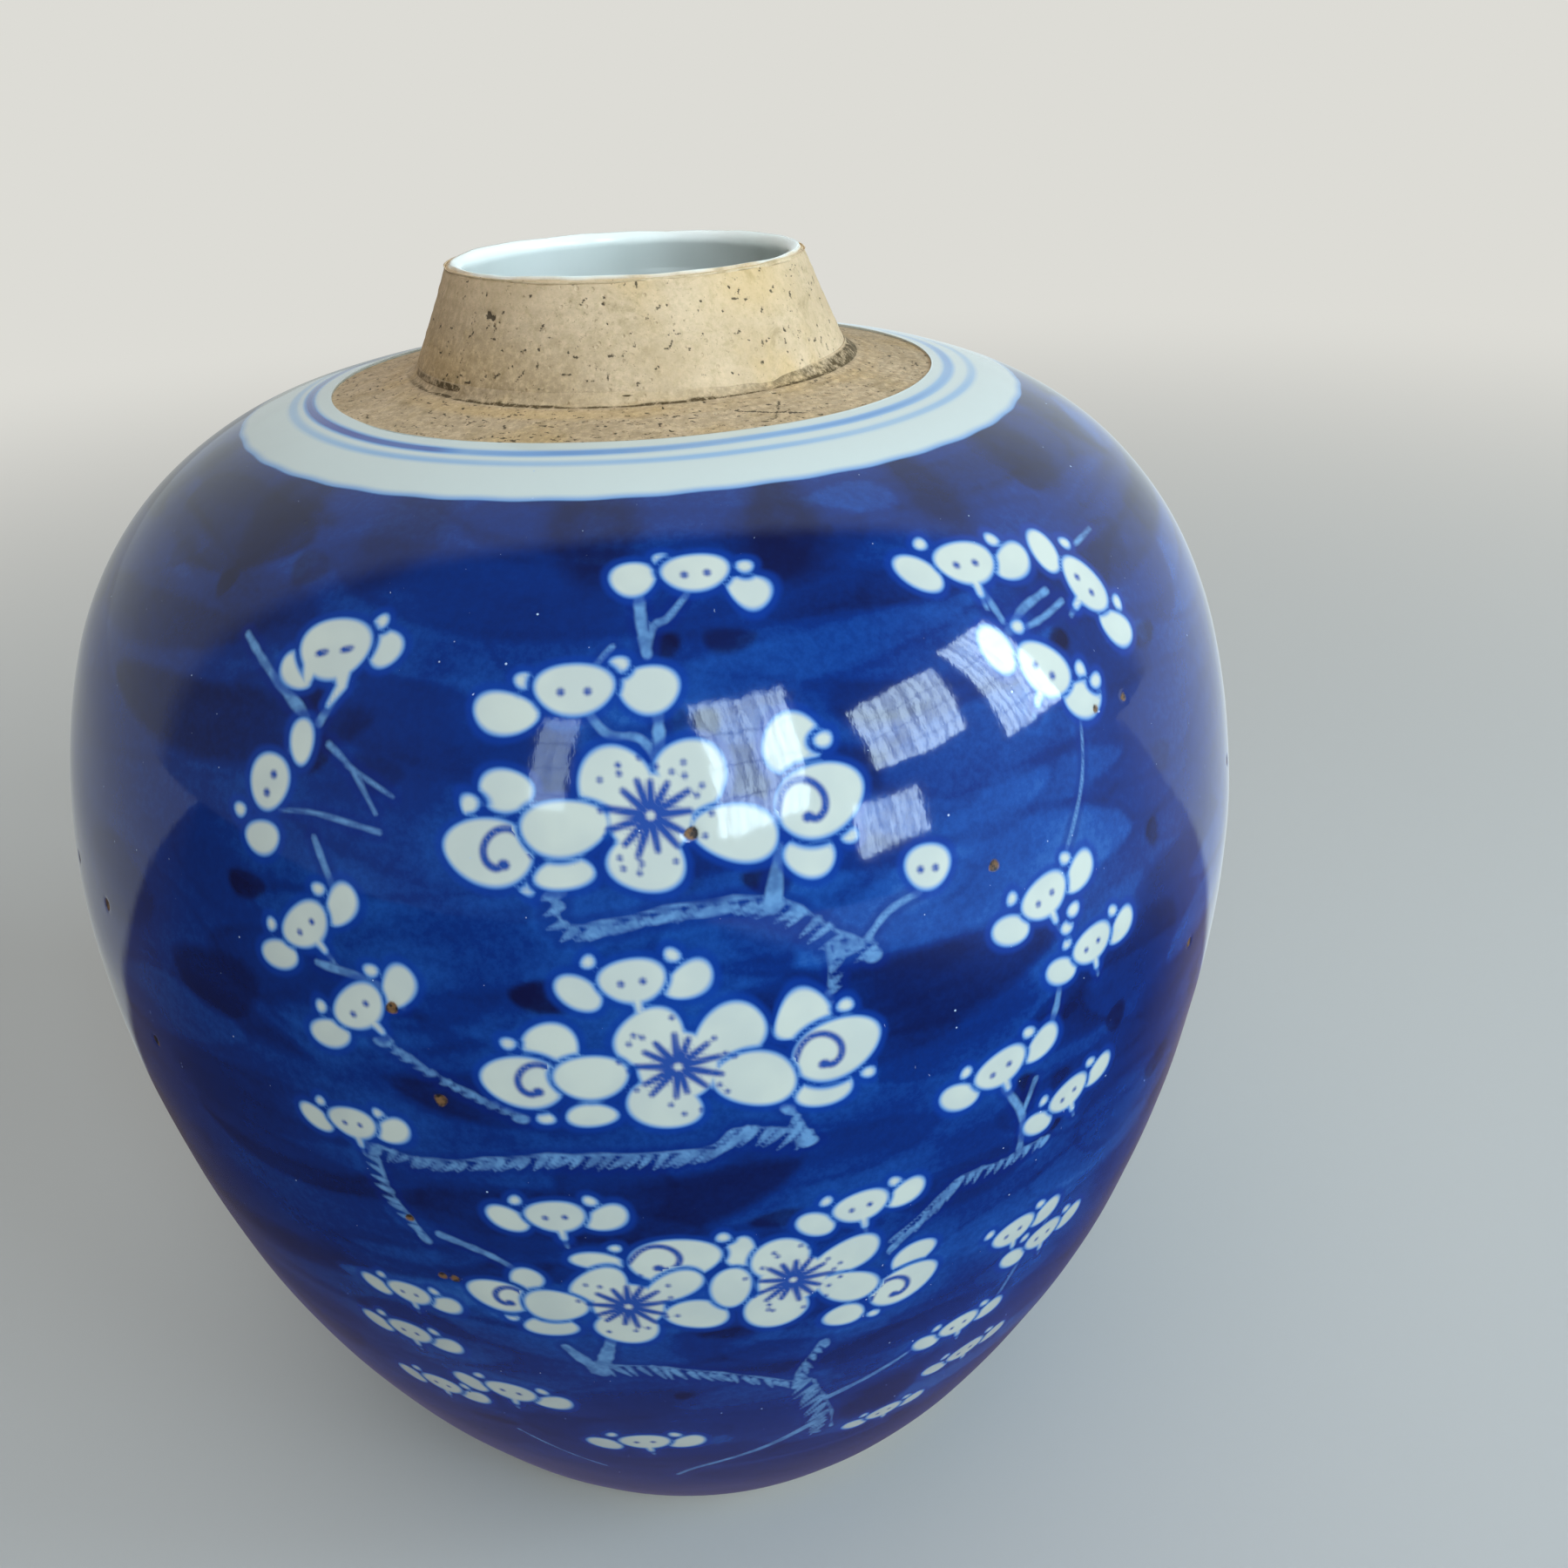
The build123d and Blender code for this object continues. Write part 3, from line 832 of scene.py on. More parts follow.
class Finish(Wiring):
    """A material, with short ways to give it patterns. Sizes are in mm. Its colour is built up from below."""

    def __init__(self, name, roughness, specular=0.5):
        self.material = bpy.data.materials.new(name)
        self.material.use_nodes = True
        super().__init__(self.material.node_tree)
        self.surface = self.tree.nodes["Principled BSDF"]
        self.place = self.node("ShaderNodeTexCoord").outputs["Object"]
        self.put("Roughness", roughness)
        self.put("Specular IOR Level", specular)
        self.colour = srgb(255, 255, 255)

    def put(self, name, value):
        """Sets one of the surface's inputs."""
        self.feed(self.surface.inputs[name], value)

    def over(self, amount, above):
        """Puts another colour over what is there so far."""
        self.colour = self.mix(amount, self.colour, above)

    def layer(self, name):
        """One of the piece's painted layers."""
        return self.node("ShaderNodeAttribute", attribute_name=name).outputs["Fac"]

    def spread(self, stretch):
        """The place on the object in mm, divided along each axis by stretch."""
        scale = [1 / MM / s for s in stretch]
        return self.node("ShaderNodeMapping", {"Vector": self.place, "Scale": scale}).outputs["Vector"]

    def noise(self, size, detail=3.0, roughness=0.55, stretch=(1, 1, 1), twist=0.0):
        """Noise from 0 to 1 with features about size mm across."""
        inputs = {
            "Vector": self.spread(stretch),
            "Scale": 1 / size,
            "Detail": detail,
            "Roughness": roughness,
            "Distortion": twist,
        }
        return self.node("ShaderNodeTexNoise", inputs).outputs["Fac"]

    def specks(self, pitch, share, size, edge=0.5):
        """Scattered round specks: share of the cells, pitch mm apart, hold one of about size mm across."""
        cells = self.node("ShaderNodeTexVoronoi", {"Vector": self.spread((1, 1, 1)), "Scale": 1 / pitch})
        reds = self.node("ShaderNodeSeparateColor", {"Color": cells.outputs["Color"]})
        chosen = self.step(reds.outputs["Red"], 1 - share, 1.0001 - share * 0.9)
        wide = self.times(reds.outputs["Green"], size / pitch / 2)
        near = self.math("SUBTRACT", wide, cells.outputs["Distance"])
        spot = self.step(near, -edge * size / pitch / 4, size / pitch * edge / 4)
        return self.times(spot, chosen)

    def ramp(self, value, stops):
        """A colour for each value. A stop is (value, colour)."""
        made = self.node("ShaderNodeValToRGB", {"Fac": value})
        points = made.color_ramp.elements
        for _ in stops[2:]:
            points.new(0.5)
        for point, (at, colour) in zip(points, stops):
            point.position = at
            point.color = colour
        return made.outputs["Color"]

    def bump(self, height, distance, below=None):
        """Tilts the shading by a height from 0 to 1 that stands for distance mm."""
        inputs = {"Height": height, "Distance": distance * MM, "Strength": 1.0}
        if below is not None:
            inputs["Normal"] = below
        return self.node("ShaderNodeBump", inputs).outputs["Normal"]


def painted_glaze():
    """Cobalt under clear, slightly blue glaze: ground, twigs, white shapes, lines, band and pits."""
    m = Finish("cobalt_painted_glaze", 0.06, 0.5)
    cloud = m.noise(14, 4, 0.6, (2.2, 2.2, 0.8), 0.3)
    grain = m.noise(1.1, 3, 0.7)
    tone = m.math("ADD", m.layer("tone"), m.step(cloud, 0.3, 0.7, -0.05, 0.05))
    tone = m.math("ADD", tone, m.step(grain, 0.3, 0.7, -0.035, 0.035))
    m.colour = m.ramp(
        tone,
        [
            (0.0, srgb(9, 12, 48)),
            (0.22, srgb(10, 28, 80)),
            (0.45, srgb(9, 43, 112)),
            (0.62, srgb(22, 70, 144)),
            (0.82, srgb(54, 108, 176)),
        ],
    )
    m.over(m.times(m.layer("dark"), m.step(m.noise(5, 3), 0.25, 0.6, 0.55, 0.9)), srgb(12, 9, 40))

    twig = m.layer("twig")
    m.over(m.step(twig, -1.5, -0.5, 0, 0.5), srgb(8, 34, 112))
    shade = m.step(m.noise(2.4, 2, 0.6), 0.3, 0.7, 0.4, 0.85)
    m.over(m.times(m.step(twig, -0.3, 0.3), shade), srgb(108, 154, 198))

    white = m.layer("white")
    m.over(m.step(white, -1.6, -0.7, 0, 0.68), srgb(12, 54, 142))
    m.over(m.step(white, -0.5, 0.0, 0, 0.85), srgb(84, 140, 200))
    clear = m.mix(m.step(m.noise(9, 2), 0.35, 0.65), srgb(198, 201, 190), srgb(190, 194, 186))
    m.over(m.step(white, -0.3, 0.55), clear)
    m.over(m.step(m.layer("ink"), -0.42, 0.34, 0, 0.97), srgb(14, 64, 146))

    band = m.layer("band")
    plain = m.ramp(
        m.layer("rings"),
        [
            (0.0, srgb(198, 204, 198)),
            (0.42, srgb(134, 168, 202)),
            (0.68, srgb(84, 132, 190)),
            (0.95, srgb(44, 62, 142)),
        ],
    )
    m.over(m.step(band, -0.25, 0.2), m.mix(m.step(band, -0.2, 1.5), srgb(96, 144, 198), plain))

    m.over(m.specks(2.0, 0.14, 0.34), srgb(170, 190, 214))
    scratch = m.step(m.noise(0.9, 2, 0.5, (0.5, 0.5, 1.9), 0.4), 0.765, 0.80)
    m.over(m.times(scratch, m.step(m.noise(13, 2), 0.5, 0.62)), srgb(176, 194, 214))
    m.over(m.specks(5.5, 0.12, 0.35), srgb(20, 22, 40))
    pit = m.layer("pit")
    rusty = m.mix(m.step(m.noise(1.2), 0.4, 0.6), srgb(28, 22, 22), srgb(120, 84, 50))
    m.over(m.step(pit, -0.25, 0.15), rusty)
    m.put("Base Color", m.colour)
    m.put("Roughness", m.step(pit, -0.3, 0.1, 0.055, 0.6))
    ripple = m.bump(m.noise(7, 2, 0.5), 0.03)
    skin = m.bump(m.noise(1.3, 2, 0.5, (0.45, 0.45, 2.2)), 0.0035, ripple)
    m.put("Normal", m.bump(m.specks(4.0, 0.15, 0.5), -0.02, skin))
    return m.material


def clear_glaze(name, warm=0.0):
    """Clear glaze over white porcelain, a little uneven, wiped off to the clay in its "wiped" layer.
    warm is how far it is soiled, from 0 to 1."""
    m = Finish(name, 0.1)
    m.colour = m.mix(m.step(m.noise(20, 3), 0.3, 0.7), srgb(248, 248, 240), srgb(240, 243, 234))
    m.over(m.step(m.noise(6, 4, 0.6), 0.55, 0.75, 0, warm), srgb(176, 160, 128))
    m.over(m.specks(6, 0.12, 0.5), srgb(70, 60, 50))
    clay = m.mix(m.step(m.noise(2.5, 4, 0.7), 0.35, 0.7), srgb(222, 194, 156), srgb(190, 160, 119))
    wiped = m.layer("wiped")  # 1 where the clay is bare
    m.over(wiped, clay)
    m.put("Base Color", m.colour)
    m.put("Roughness", m.step(wiped, 0.2, 0.8, 0.1, 0.8))
    m.put("Normal", m.bump(m.noise(7, 2, 0.5), 0.03))
    return m.material


def biscuit(name, grit):
    """Unglazed porcelain fired buff and handled for years: stained patches, pores, nicks and iron flecks,
    with painted shade laid on along with the grime. grit is how rough and how thickly flecked it is."""
    m = Finish(name, 0.78, 0.25)
    cloud = m.step(m.noise(9, 4, 0.6, (1.3, 1.3, 1)), 0.3, 0.7)
    m.colour = m.mix(cloud, srgb(223, 194, 158), srgb(208, 179, 142))
    m.over(m.step(m.noise(17, 3, 0.6), 0.52, 0.72, 0, 0.5), srgb(216, 178, 118))
    grain = m.step(m.noise(0.9, 4, 0.75), 0.42, 0.72, 0, 0.34)
    m.over(grain, srgb(176, 152, 108))
    stain = m.step(m.noise(4.5, 5, 0.72, twist=0.6), 0.50, 0.74, 0, 0.62)
    m.over(stain, srgb(164, 140, 98))
    # grime and painted shade: this darkening stands for real grime and for shade in hollows and corners
    soil_and_shade = m.times(m.layer("dirt_and_shade"), m.step(m.noise(1.3, 5, 0.8), 0.3, 0.62, 0.2, 1.35))
    m.over(m.math("MINIMUM", soil_and_shade, 1.0), srgb(70, 56, 36))
    m.over(m.layer("blush"), srgb(212, 172, 106))
    pepper = m.times(m.step(m.noise(0.6, 3, 0.7), 0.60, 0.68), m.step(m.noise(6, 3), 0.38, 0.62, 0.25, 1.0))
    m.over(m.times(pepper, 0.55 * grit), srgb(104, 82, 50))
    fleck = m.step(m.noise(1.1, 3, 0.75, (1.5, 0.8, 0.8), 1.6), 0.685, 0.73)
    m.over(m.times(fleck, 0.85), srgb(70, 56, 38))
    ragged = m.math("ADD", m.layer("hole"), m.step(m.noise(0.5, 3, 0.7), 0.3, 0.7, -0.3, 0.3))
    m.over(m.times(m.step(ragged, 0.3, 0.62), 0.85), srgb(46, 37, 25))
    m.put("Base Color", m.colour)
    pores = m.bump(m.specks(1.2, 0.35, 0.6), -0.10 * grit)
    m.put("Normal", m.bump(m.noise(0.9, 4, 0.7, (1.5, 1.5, 1)), 0.09 * grit, pores))
    m.put("Roughness", m.step(m.noise(3, 3), 0.3, 0.7, 0.7, 0.9))
    return m.material


# ---------------------------------------------------------------- pieces


CLAY_TURN = all_around(BISCUIT_COLUMNS)
CLEAR_TURN = all_around(BISCUIT_COLUMNS // 2)  # for the unpainted glaze
NECK_ROOT = 200.0  # mm, about the height where the neck stands on the shoulder
LIP_FOOT = 216.0  # mm, just below the height where the lip rounds over
LIP_EDGE = 27.8  # mm, the radius on the lip where its coat of glaze has thinned to nothing
RING_EDGES = (36.0, 48.4)  # mm, about the radii between which the shoulder is bare
FOOT_TOP = 5.0  # mm, about the height up to which the foot is bare
SCRATCH_DARK = 0.72  # how dark a scratch is in the clay, against a hole


def ripples(turn, rows, height, waves):
    """Slow unevenness in mm: each wave is (lobes around the jar, mm up the jar, share)."""
    total = 0
    for lobes, rise, share in waves:
        total = total + share * np.sin(lobes * np.radians(turn) + rows.height * 2 * pi / rise + lobes * 1.7)
    return height * total


def near_turn(middle, reach):
    """1 at an angle around the jar, fading to 0 at reach degrees to either side."""
    return soft(-abs(angle_from(CLAY_TURN, middle)), -reach, 0)


def spots(rows, places):
    """Round spots, 1 inside. Each is (turn in degrees, mm along the outline, radius in mm)."""
    total = np.zeros((len(rows.radius), BISCUIT_COLUMNS))
    for angle, down, size in places:
        near = np.flatnonzero(abs(rows.along - down) < size * 2)
        if len(near):
            across = np.radians(angle_from(CLAY_TURN, angle))
            columns = np.flatnonzero(abs(across) * rows.radius[near].mean() < size * 2)
            gap = np.hypot(rows.radius[near] * across[columns], rows.along[near] - down)
            total[np.ix_(near, columns)] += soft(size - gap, -size * 0.6, size * 0.5)
    return total


def scattered(seed, count, low, high, sizes):
    """Seeded places for spots, between low and high mm along the outline."""
    rng = np.random.default_rng(seed)
    return [(rng.uniform(-180, 180), rng.uniform(low, high), rng.uniform(*sizes)) for _ in range(count)]


def scratches(rows, lines):
    """Fine lines, 1 where drawn. Each runs from one place to another, in degrees around and mm along the
    outline, and has its own width in mm."""
    total = np.zeros((len(rows.radius), BISCUIT_COLUMNS))
    for (from_turn, from_down), (to_turn, to_down), width in lines:
        middle = (from_down + to_down) / 2
        near = np.flatnonzero(abs(rows.along - middle) < abs(to_down - from_down) / 2 + 2)
        if len(near):
            radius = rows.radius[near].mean()
            x = np.radians(angle_from(CLAY_TURN, from_turn)) * radius
            run = radians(to_turn - from_turn) * radius
            columns = np.flatnonzero((x > min(0, run) - 2) & (x < max(0, run) + 2))
            ends = [(0, 0), (run, to_down - from_down)]
            line = stroke(x[columns], rows.along[near] - from_down, ends, width)
            add(total, np.ix_(near, columns), soft(line, -0.15, 0.15))
    return total


def clay_layers(rows, dirt_and_shade, blush, holes=0.0, lines=()):
    """The layers of a bare clay piece: grime with painted shade, and blush, from 0 to 1, and dark holes and
    scratches.
    """
    flat = np.zeros((len(rows.radius), BISCUIT_COLUMNS))
    dark = np.maximum(holes, scratches(rows, lines) * SCRATCH_DARK)
    return {"dirt_and_shade": flat + dirt_and_shade, "blush": flat + blush, "hole": dark}


def build_outer_glaze():
    """The painted coat. Its hidden side, against the clay, has few rows."""
    rows = Rows("outer_glaze", lambda r, z, out: np.where(out > -0.3, FINE, 6.0))
    layers = painted_layers(rows)
    outside = rows.along < rows.along[np.argmin(rows.height)]
    slow = ripples(all_around(COLUMNS), rows, 0.09, ((3, 60, 1), (5, 41, 0.5), (9, -23, 0.3), (14, 17, 0.2)))
    relief = slow - 0.16 * soft(layers["pit"], -0.5, 0.3) * outside
    turned("outer_glaze_painted", "outer_glaze", rows, painted_glaze(), relief, layers)


def build_inner_glaze():
    """The clear coat inside and over the lip, with the throwing rings showing through it. It thins to nothing
    down the outside of the lip, where its edge was wiped."""
    rows = Rows("inner_glaze", lambda r, z, out: np.where(z > NECK_ROOT, 0.4, 2.5))
    on_lip = rows.height > LIP_FOOT
    thrown = ripples(CLEAR_TURN, rows, 0.10, ((1, 8.5, 1), (2, 5.1, 0.4))) * (rows.height < NECK_ROOT)
    lip = ripples(CLEAR_TURN, rows, 0.10, ((3, 400, 1), (7, 300, 0.6), (16, 200, 0.4)))
    thinned = 0.50 * soft(rows.radius, LIP_EDGE - 0.9, LIP_EDGE) * (rows.out > 0.15) * on_lip
    relief = np.where(rows.height > LIP_FOOT - 4, lip, thrown) - thinned
    turn = np.radians(CLEAR_TURN)
    wander = 0.12 * np.sin(3 * turn) + 0.10 * np.sin(11 * turn + 1) + 0.06 * np.sin(29 * turn)
    wiped = soft(rows.radius + wander, LIP_EDGE - 0.65, LIP_EDGE - 0.15) * on_lip
    layers = {"wiped": wiped}
    turned("inner_glaze_coat", "inner_glaze", rows, clear_glaze("clear_glaze_inside"), relief, layers)


def build_neck():
    """The bare neck: turned and wiped, with painted shade low on the left and burnt-out specks."""
    rows = Rows("neck", lambda r, z, out: np.where(out > 0.2, 0.3, 1.2))
    outside = rows.out > 0.2
    top, bottom = rows.along[outside].min(), rows.along[outside].max()
    pair = [(-43, top + 5.2, 0.55), (-41, top + 5.5, 0.4)]
    holes = spots(rows, scattered(3, 45, top + 1, bottom - 1, (0.12, 0.24)) + pair)
    rng = np.random.default_rng(5)
    nicks = scattered(4, 330, top, bottom - 1, (0.12, 0.42))
    lines = [((t, d), (t + rng.uniform(0.1, 1.9), d - rng.uniform(-0.1, 0.9)), w) for t, d, w in nicks]

    # painted shade: darker low on the left of the neck, and more in the corner at its root there
    left = near_turn(-55, 85) * soft(rows.along, bottom - 18, bottom - 2)
    root = near_turn(-50, 80) * soft(rows.along, bottom - 4, bottom)
    dirt_and_shade = 0.08 + 0.28 * left + 0.18 * root
    low_left = near_turn(-60, 60) * soft(rows.along, top + 6, bottom - 3)
    high_right = near_turn(38, 26) * soft(-rows.along, -top - 9, -top - 3)
    blush = 0.22 * low_left + 0.35 * high_right

    below_lip = soft(-rows.height, -LIP_FOOT - 1, -LIP_FOOT + 0.2)
    wall = below_lip * soft(-rows.along, -bottom, 1 - bottom) * outside
    turning = ripples(CLAY_TURN, rows, 0.018, ((0, 2.1, 1), (1, 3.3, 0.8), (2, 1.3, 0.5)))
    slow = ripples(CLAY_TURN, rows, 0.10, ((3, 90, 1), (5, 60, 0.5)))
    under_lip = soft(rows.radius, LIP_EDGE - 0.4, LIP_EDGE) * soft(rows.height, LIP_FOOT - 3, LIP_FOOT - 0.5)
    relief = wall * (turning + slow) + 0.09 * under_lip * outside - 0.24 * holes
    layers = clay_layers(rows, dirt_and_shade, blush, holes, lines)
    turned("neck_biscuit", "neck", rows, biscuit("neck_biscuit_clay", 1.0), relief, layers)


def build_neck_slip():
    """The bead of slip in the corner between neck and shoulder, thicker and darker on the right. It has
    painted shade all over, along its foot and on its left.
    """
    rows = Rows("neck_luting_slip", lambda r, z, out: 0.25)
    outside = rows.out > 0.2
    top, bottom = rows.along[outside].min(), rows.along[outside].max()
    right = near_turn(85, 92)
    turn = np.radians(CLAY_TURN)
    wander = 0.22 * np.sin(9 * turn) + 0.12 * np.sin(31 * turn)
    # painted shade: a dark line in the crease along the bead's foot
    line = soft(rows.along + wander, bottom - 0.75, bottom - 0.35) * (1 - 0.7 * near_turn(-95, 60))
    # darker at the top on the right, and painted shade on the left
    dark_right_and_shaded_left = np.maximum(0.85 * right * soft(rows.along, top, top + 0.5), 0.30 * near_turn(-60, 80))
    # painted shade: the whole bead a little darker than the neck, as it is lit more from above
    dirt_and_shade = 0.14 + np.maximum(0.9 * line, dark_right_and_shaded_left)

    share = np.clip((rows.along - top) / (bottom - top), 0, 1) * outside
    uneven = ripples(CLAY_TURN, rows, 0.12, ((4, 60, 1), (7, 50, 0.8), (13, 40, 0.6), (29, 20, 0.4)))
    relief = np.sin(pi * share) * (uneven - 0.40 * (1 - 0.9 * right))
    layers = clay_layers(rows, dirt_and_shade, 0.05)
    turned("neck_slip_bead", "neck_luting_slip", rows, biscuit("bead_clay", 1.0), relief, layers)


def build_upper_body():
    """The upper thrown half. Only its bare ring shows, turned and scratched around the neck."""
    rows = Rows("upper_body", lambda r, z, out: np.where((r < 49.5) & (z > NECK_ROOT - 1.5), 0.3, 5.0))
    top = rows.height >= NECK_ROOT - 1
    first, last = (rows.along[top][np.argmin(abs(rows.radius[top] - edge))] for edge in RING_EDGES)
    holes = spots(rows, scattered(8, 160, first, last, (0.12, 0.30)))
    rng = np.random.default_rng(9)
    places = scattered(10, 700, first + 1, last, (0.16, 0.34))
    lines = [((t, d), (t + rng.uniform(0.2, 1.8), d + rng.uniform(-0.4, 0.4)), w) for t, d, w in places]
    lines += [((19, first + 5.0), (31, first + 9.5), 0.4), ((30, first + 4.2), (24, first + 9.8), 0.4)]

    # painted shade: darker in the corner by the neck; painted light: lighter along the glaze's edge, against
    # the shade there
    shade_by_neck = 1 - soft(rows.along, first - 1, first + 0.9)
    light_by_glaze_edge = soft(rows.along, last - 1.2, last)
    dirt_and_shade = 0.30 + 0.45 * shade_by_neck - 0.10 * light_by_glaze_edge + 0.12 * near_turn(120, 90)
    near_neck = 0.34 * soft(-abs(rows.along - first - 2.5), -2.6, -0.6)
    blush = near_neck * (0.2 + 0.8 * near_turn(-25, 50))

    seen = (rows.along > first - 0.5) & (rows.along < last - 0.3)
    grooves = 0.03 * np.sin(rows.along * 2 * pi / 1.9) * (1 + 0.4 * np.sin(2 * np.radians(CLAY_TURN)))
    relief = seen * (grooves - 0.22 * holes)
    layers = clay_layers(rows, dirt_and_shade, blush, holes, lines)
    turned("upper_body_biscuit", "upper_body", rows, biscuit("shoulder_biscuit_clay", 1.5), relief, layers)


def build_lower_body():
    """The lower thrown half. Only its foot shows: a bare, turned and slightly gritty ring. Its relief never
    stands out past the CAD's surface, so that it stays on the table."""
    rows = Rows("lower_body", lambda r, z, out: np.where((z < FOOT_TOP + 0.2) & (r > 44), 0.4, 6.0))
    start = rows.along[(rows.height < FOOT_TOP) & (rows.radius > 60)][0]
    end = rows.along[(rows.height < FOOT_TOP - 0.1) & (rows.radius < 51) & (rows.along > start)][-1]
    holes = spots(rows, scattered(12, 90, start, end, (0.2, 0.6)))
    dirt_and_shade = 0.22 + 0.35 * soft(-abs(rows.along - start - 2), -2.5, 0)
    blush = 0.7 * soft(-abs(rows.along - start), -2.0, 0)

    seen = (rows.along > start + 0.4) & (rows.along < end - 0.4)
    turning = 0.045 * np.sin(rows.along * 2 * pi / 1.6)
    uneven = turning + ripples(CLAY_TURN, rows, 0.08, ((3, 90, 1), (8, 50, 0.5)))
    relief = seen * (np.minimum(uneven - 0.08, -0.01) - 0.25 * holes)
    layers = clay_layers(rows, dirt_and_shade, blush, holes)
    turned("lower_body_biscuit", "lower_body", rows, biscuit("foot_biscuit_clay", 1.2), relief, layers)


def build_base_glaze():
    """The clear coat in the recess under the base."""
    rows = Rows("base_glaze", lambda r, z, out: np.where(r > 46, 0.4, 1.6))
    relief = ripples(CLEAR_TURN, rows, 0.05, ((3, 90, 1), (5, 60, 0.5)))
    layers = {"wiped": np.zeros(relief.shape)}
    turned("base_glaze_coat", "base_glaze", rows, clear_glaze("clear_glaze_base", 0.35), relief, layers)


def dress_belly_slip():
    """The luting slip at the belly seam is hidden under the glaze. It keeps its CAD shape."""
    m = Finish("luting_slip_clay", 0.85, 0.3)
    m.colour = m.mix(m.noise(4, 4, 0.6), srgb(214, 198, 165), srgb(186, 166, 128))
    m.over(m.specks(1.6, 0.3, 0.5), srgb(120, 96, 66))
    m.put("Base Color", m.colour)
    m.put("Normal", m.bump(m.noise(1.0, 4, 0.7), 0.12))
    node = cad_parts["belly_luting_slip"]
    node.data.materials.clear()
    node.data.materials.append(m.material)


# ---------------------------------------------------------------- studio


ROOM_COLOUR = srgb(221, 220, 214)  # the pale room
ROOM_LEFT, ROOM_RIGHT = srgb(172, 176, 174), srgb(226, 238, 240)  # its far side, as the glaze sees it
ROOM_DIM = 0.13  # how bright the room is behind the viewer, against the pale side behind the jar
FLOOR_REACH = 6.0  # m
FLOOR_FADE = (0.15, 1.3)  # m from the jar's axis, the stretch where the floor turns into the room's colour
# painted reflection: colours that the floor glows with, seen only in the glaze; the lit table is a painted
# pool of light
TABLE_BY_FOOT, TABLE = srgb(92, 88, 112), srgb(64, 58, 62)  # the dark table that only the glaze sees
TABLE_LIT = srgb(134, 126, 138)  # the same at the back on the right
TABLE_BACK, TABLE_SIDE = 0.075, 0.22  # m, where that table ends, behind the jar and on the right
SIDE_GLOW = 0.45  # how bright the room is on the right, against its far side
DAYLIGHT = (0.64, 0.84, 0.98)
FOLD_PITCH = 0.055  # half the distance from fold to fold, as a share of the window's width
CURTAIN_GAIN = 1.42  # makes up for the light that the folds and bars hold back
BAR_PITCH = 0.13  # between a crossbar and the middle of a pane, as a share of the window's height
PANES = (  # name, place, width and height in m, power in W
    ("pane_narrow", (-0.51, -1.27, 0.99), (0.17, 0.66), 1.8),
    ("pane_front", (0.40, -1.33, 0.95), (0.46, 1.00), 13.5),
    ("pane_middle", (1.08, -0.97, 0.85), (0.52, 0.52), 9),
    ("pane_side", (1.39, -0.48, 0.80), (0.40, 0.78), 11),
    ("pane_low", (0.92, -1.17, 0.37), (0.34, 0.17), 1.9),
)
CAMERA_PLACE = (0, -0.2374, 0.2467)  # m
YAW, PITCH, ROLL = 5.20, 27.72, -2.37  # degrees: to the right, down and tipped
LENS = 32.35  # mm, for a picture 36 mm wide


def true_colours():
    """Shows colours as they are mixed, without the softer film-like curve."""
    bpy.context.scene.view_settings.view_transform = "Standard"


def plain_stage():
    """A pale floor that fades into the pale room away from the jar, so that no horizon shows. In the glaze it
    glows as a painted reflection: a dark table, lit at the back on the right, with a pale wall close behind
    the jar."""
    mesh = bpy.data.meshes.new("floor")
    turns = [2 * pi * k / 96 for k in range(96)]
    mesh.from_pydata([(FLOOR_REACH * cos(a), FLOOR_REACH * sin(a), 0) for a in turns], [], [range(96)])
    placed("floor", mesh)
    m = Finish("pale_floor", 0.85, 0.2)
    m.put("Base Color", m.mix(m.noise(600, 2), srgb(192, 189, 185), srgb(187, 184, 180)))
    path = m.node("ShaderNodeLightPath").outputs
    place = m.node("ShaderNodeSeparateXYZ", {"Vector": m.place}).outputs
    far = m.node("ShaderNodeVectorMath", {0: m.place}, operation="LENGTH").outputs["Value"]
    away = m.times(m.step(far, *FLOOR_FADE), path["Is Camera Ray"])
    beyond_back = m.step(place["Y"], TABLE_BACK, TABLE_BACK + 0.02)
    beyond_side = m.step(place["X"], TABLE_SIDE, TABLE_SIDE + 0.30, 0.0, SIDE_GLOW)
    behind = m.math("MAXIMUM", beyond_back, beyond_side)
    wall = m.mix(m.step(place["X"], -0.25, 0.25), ROOM_LEFT, ROOM_RIGHT)
    table = m.mix(m.step(far, 0.08, 0.16), TABLE_BY_FOOT, TABLE)
    # painted light: the reflected table is lighter towards the back on the right
    lit_right = m.step(place["X"], -0.05, 0.12, 0.25, 1.0)
    lit = m.times(m.step(place["Y"], -0.05, TABLE_BACK), lit_right)
    lit_table = m.mix(lit, table, TABLE_LIT)
    mirrored = m.mix(behind, lit_table, wall)
    room = m.node("ShaderNodeEmission", {"Color": ROOM_COLOUR, "Strength": 1.0}).outputs[0]
    in_glaze = m.node("ShaderNodeEmission", {"Color": mirrored, "Strength": 1.0}).outputs[0]
    plain = m.node("ShaderNodeMixShader", {0: away, 1: m.surface.outputs[0], 2: room}).outputs[0]
    shown = m.node("ShaderNodeMixShader", {0: path["Is Glossy Ray"], 1: plain, 2: in_glaze}).outputs[0]
    m.feed(m.tree.nodes["Material Output"].inputs["Surface"], shown)
    mesh.materials.append(m.material)


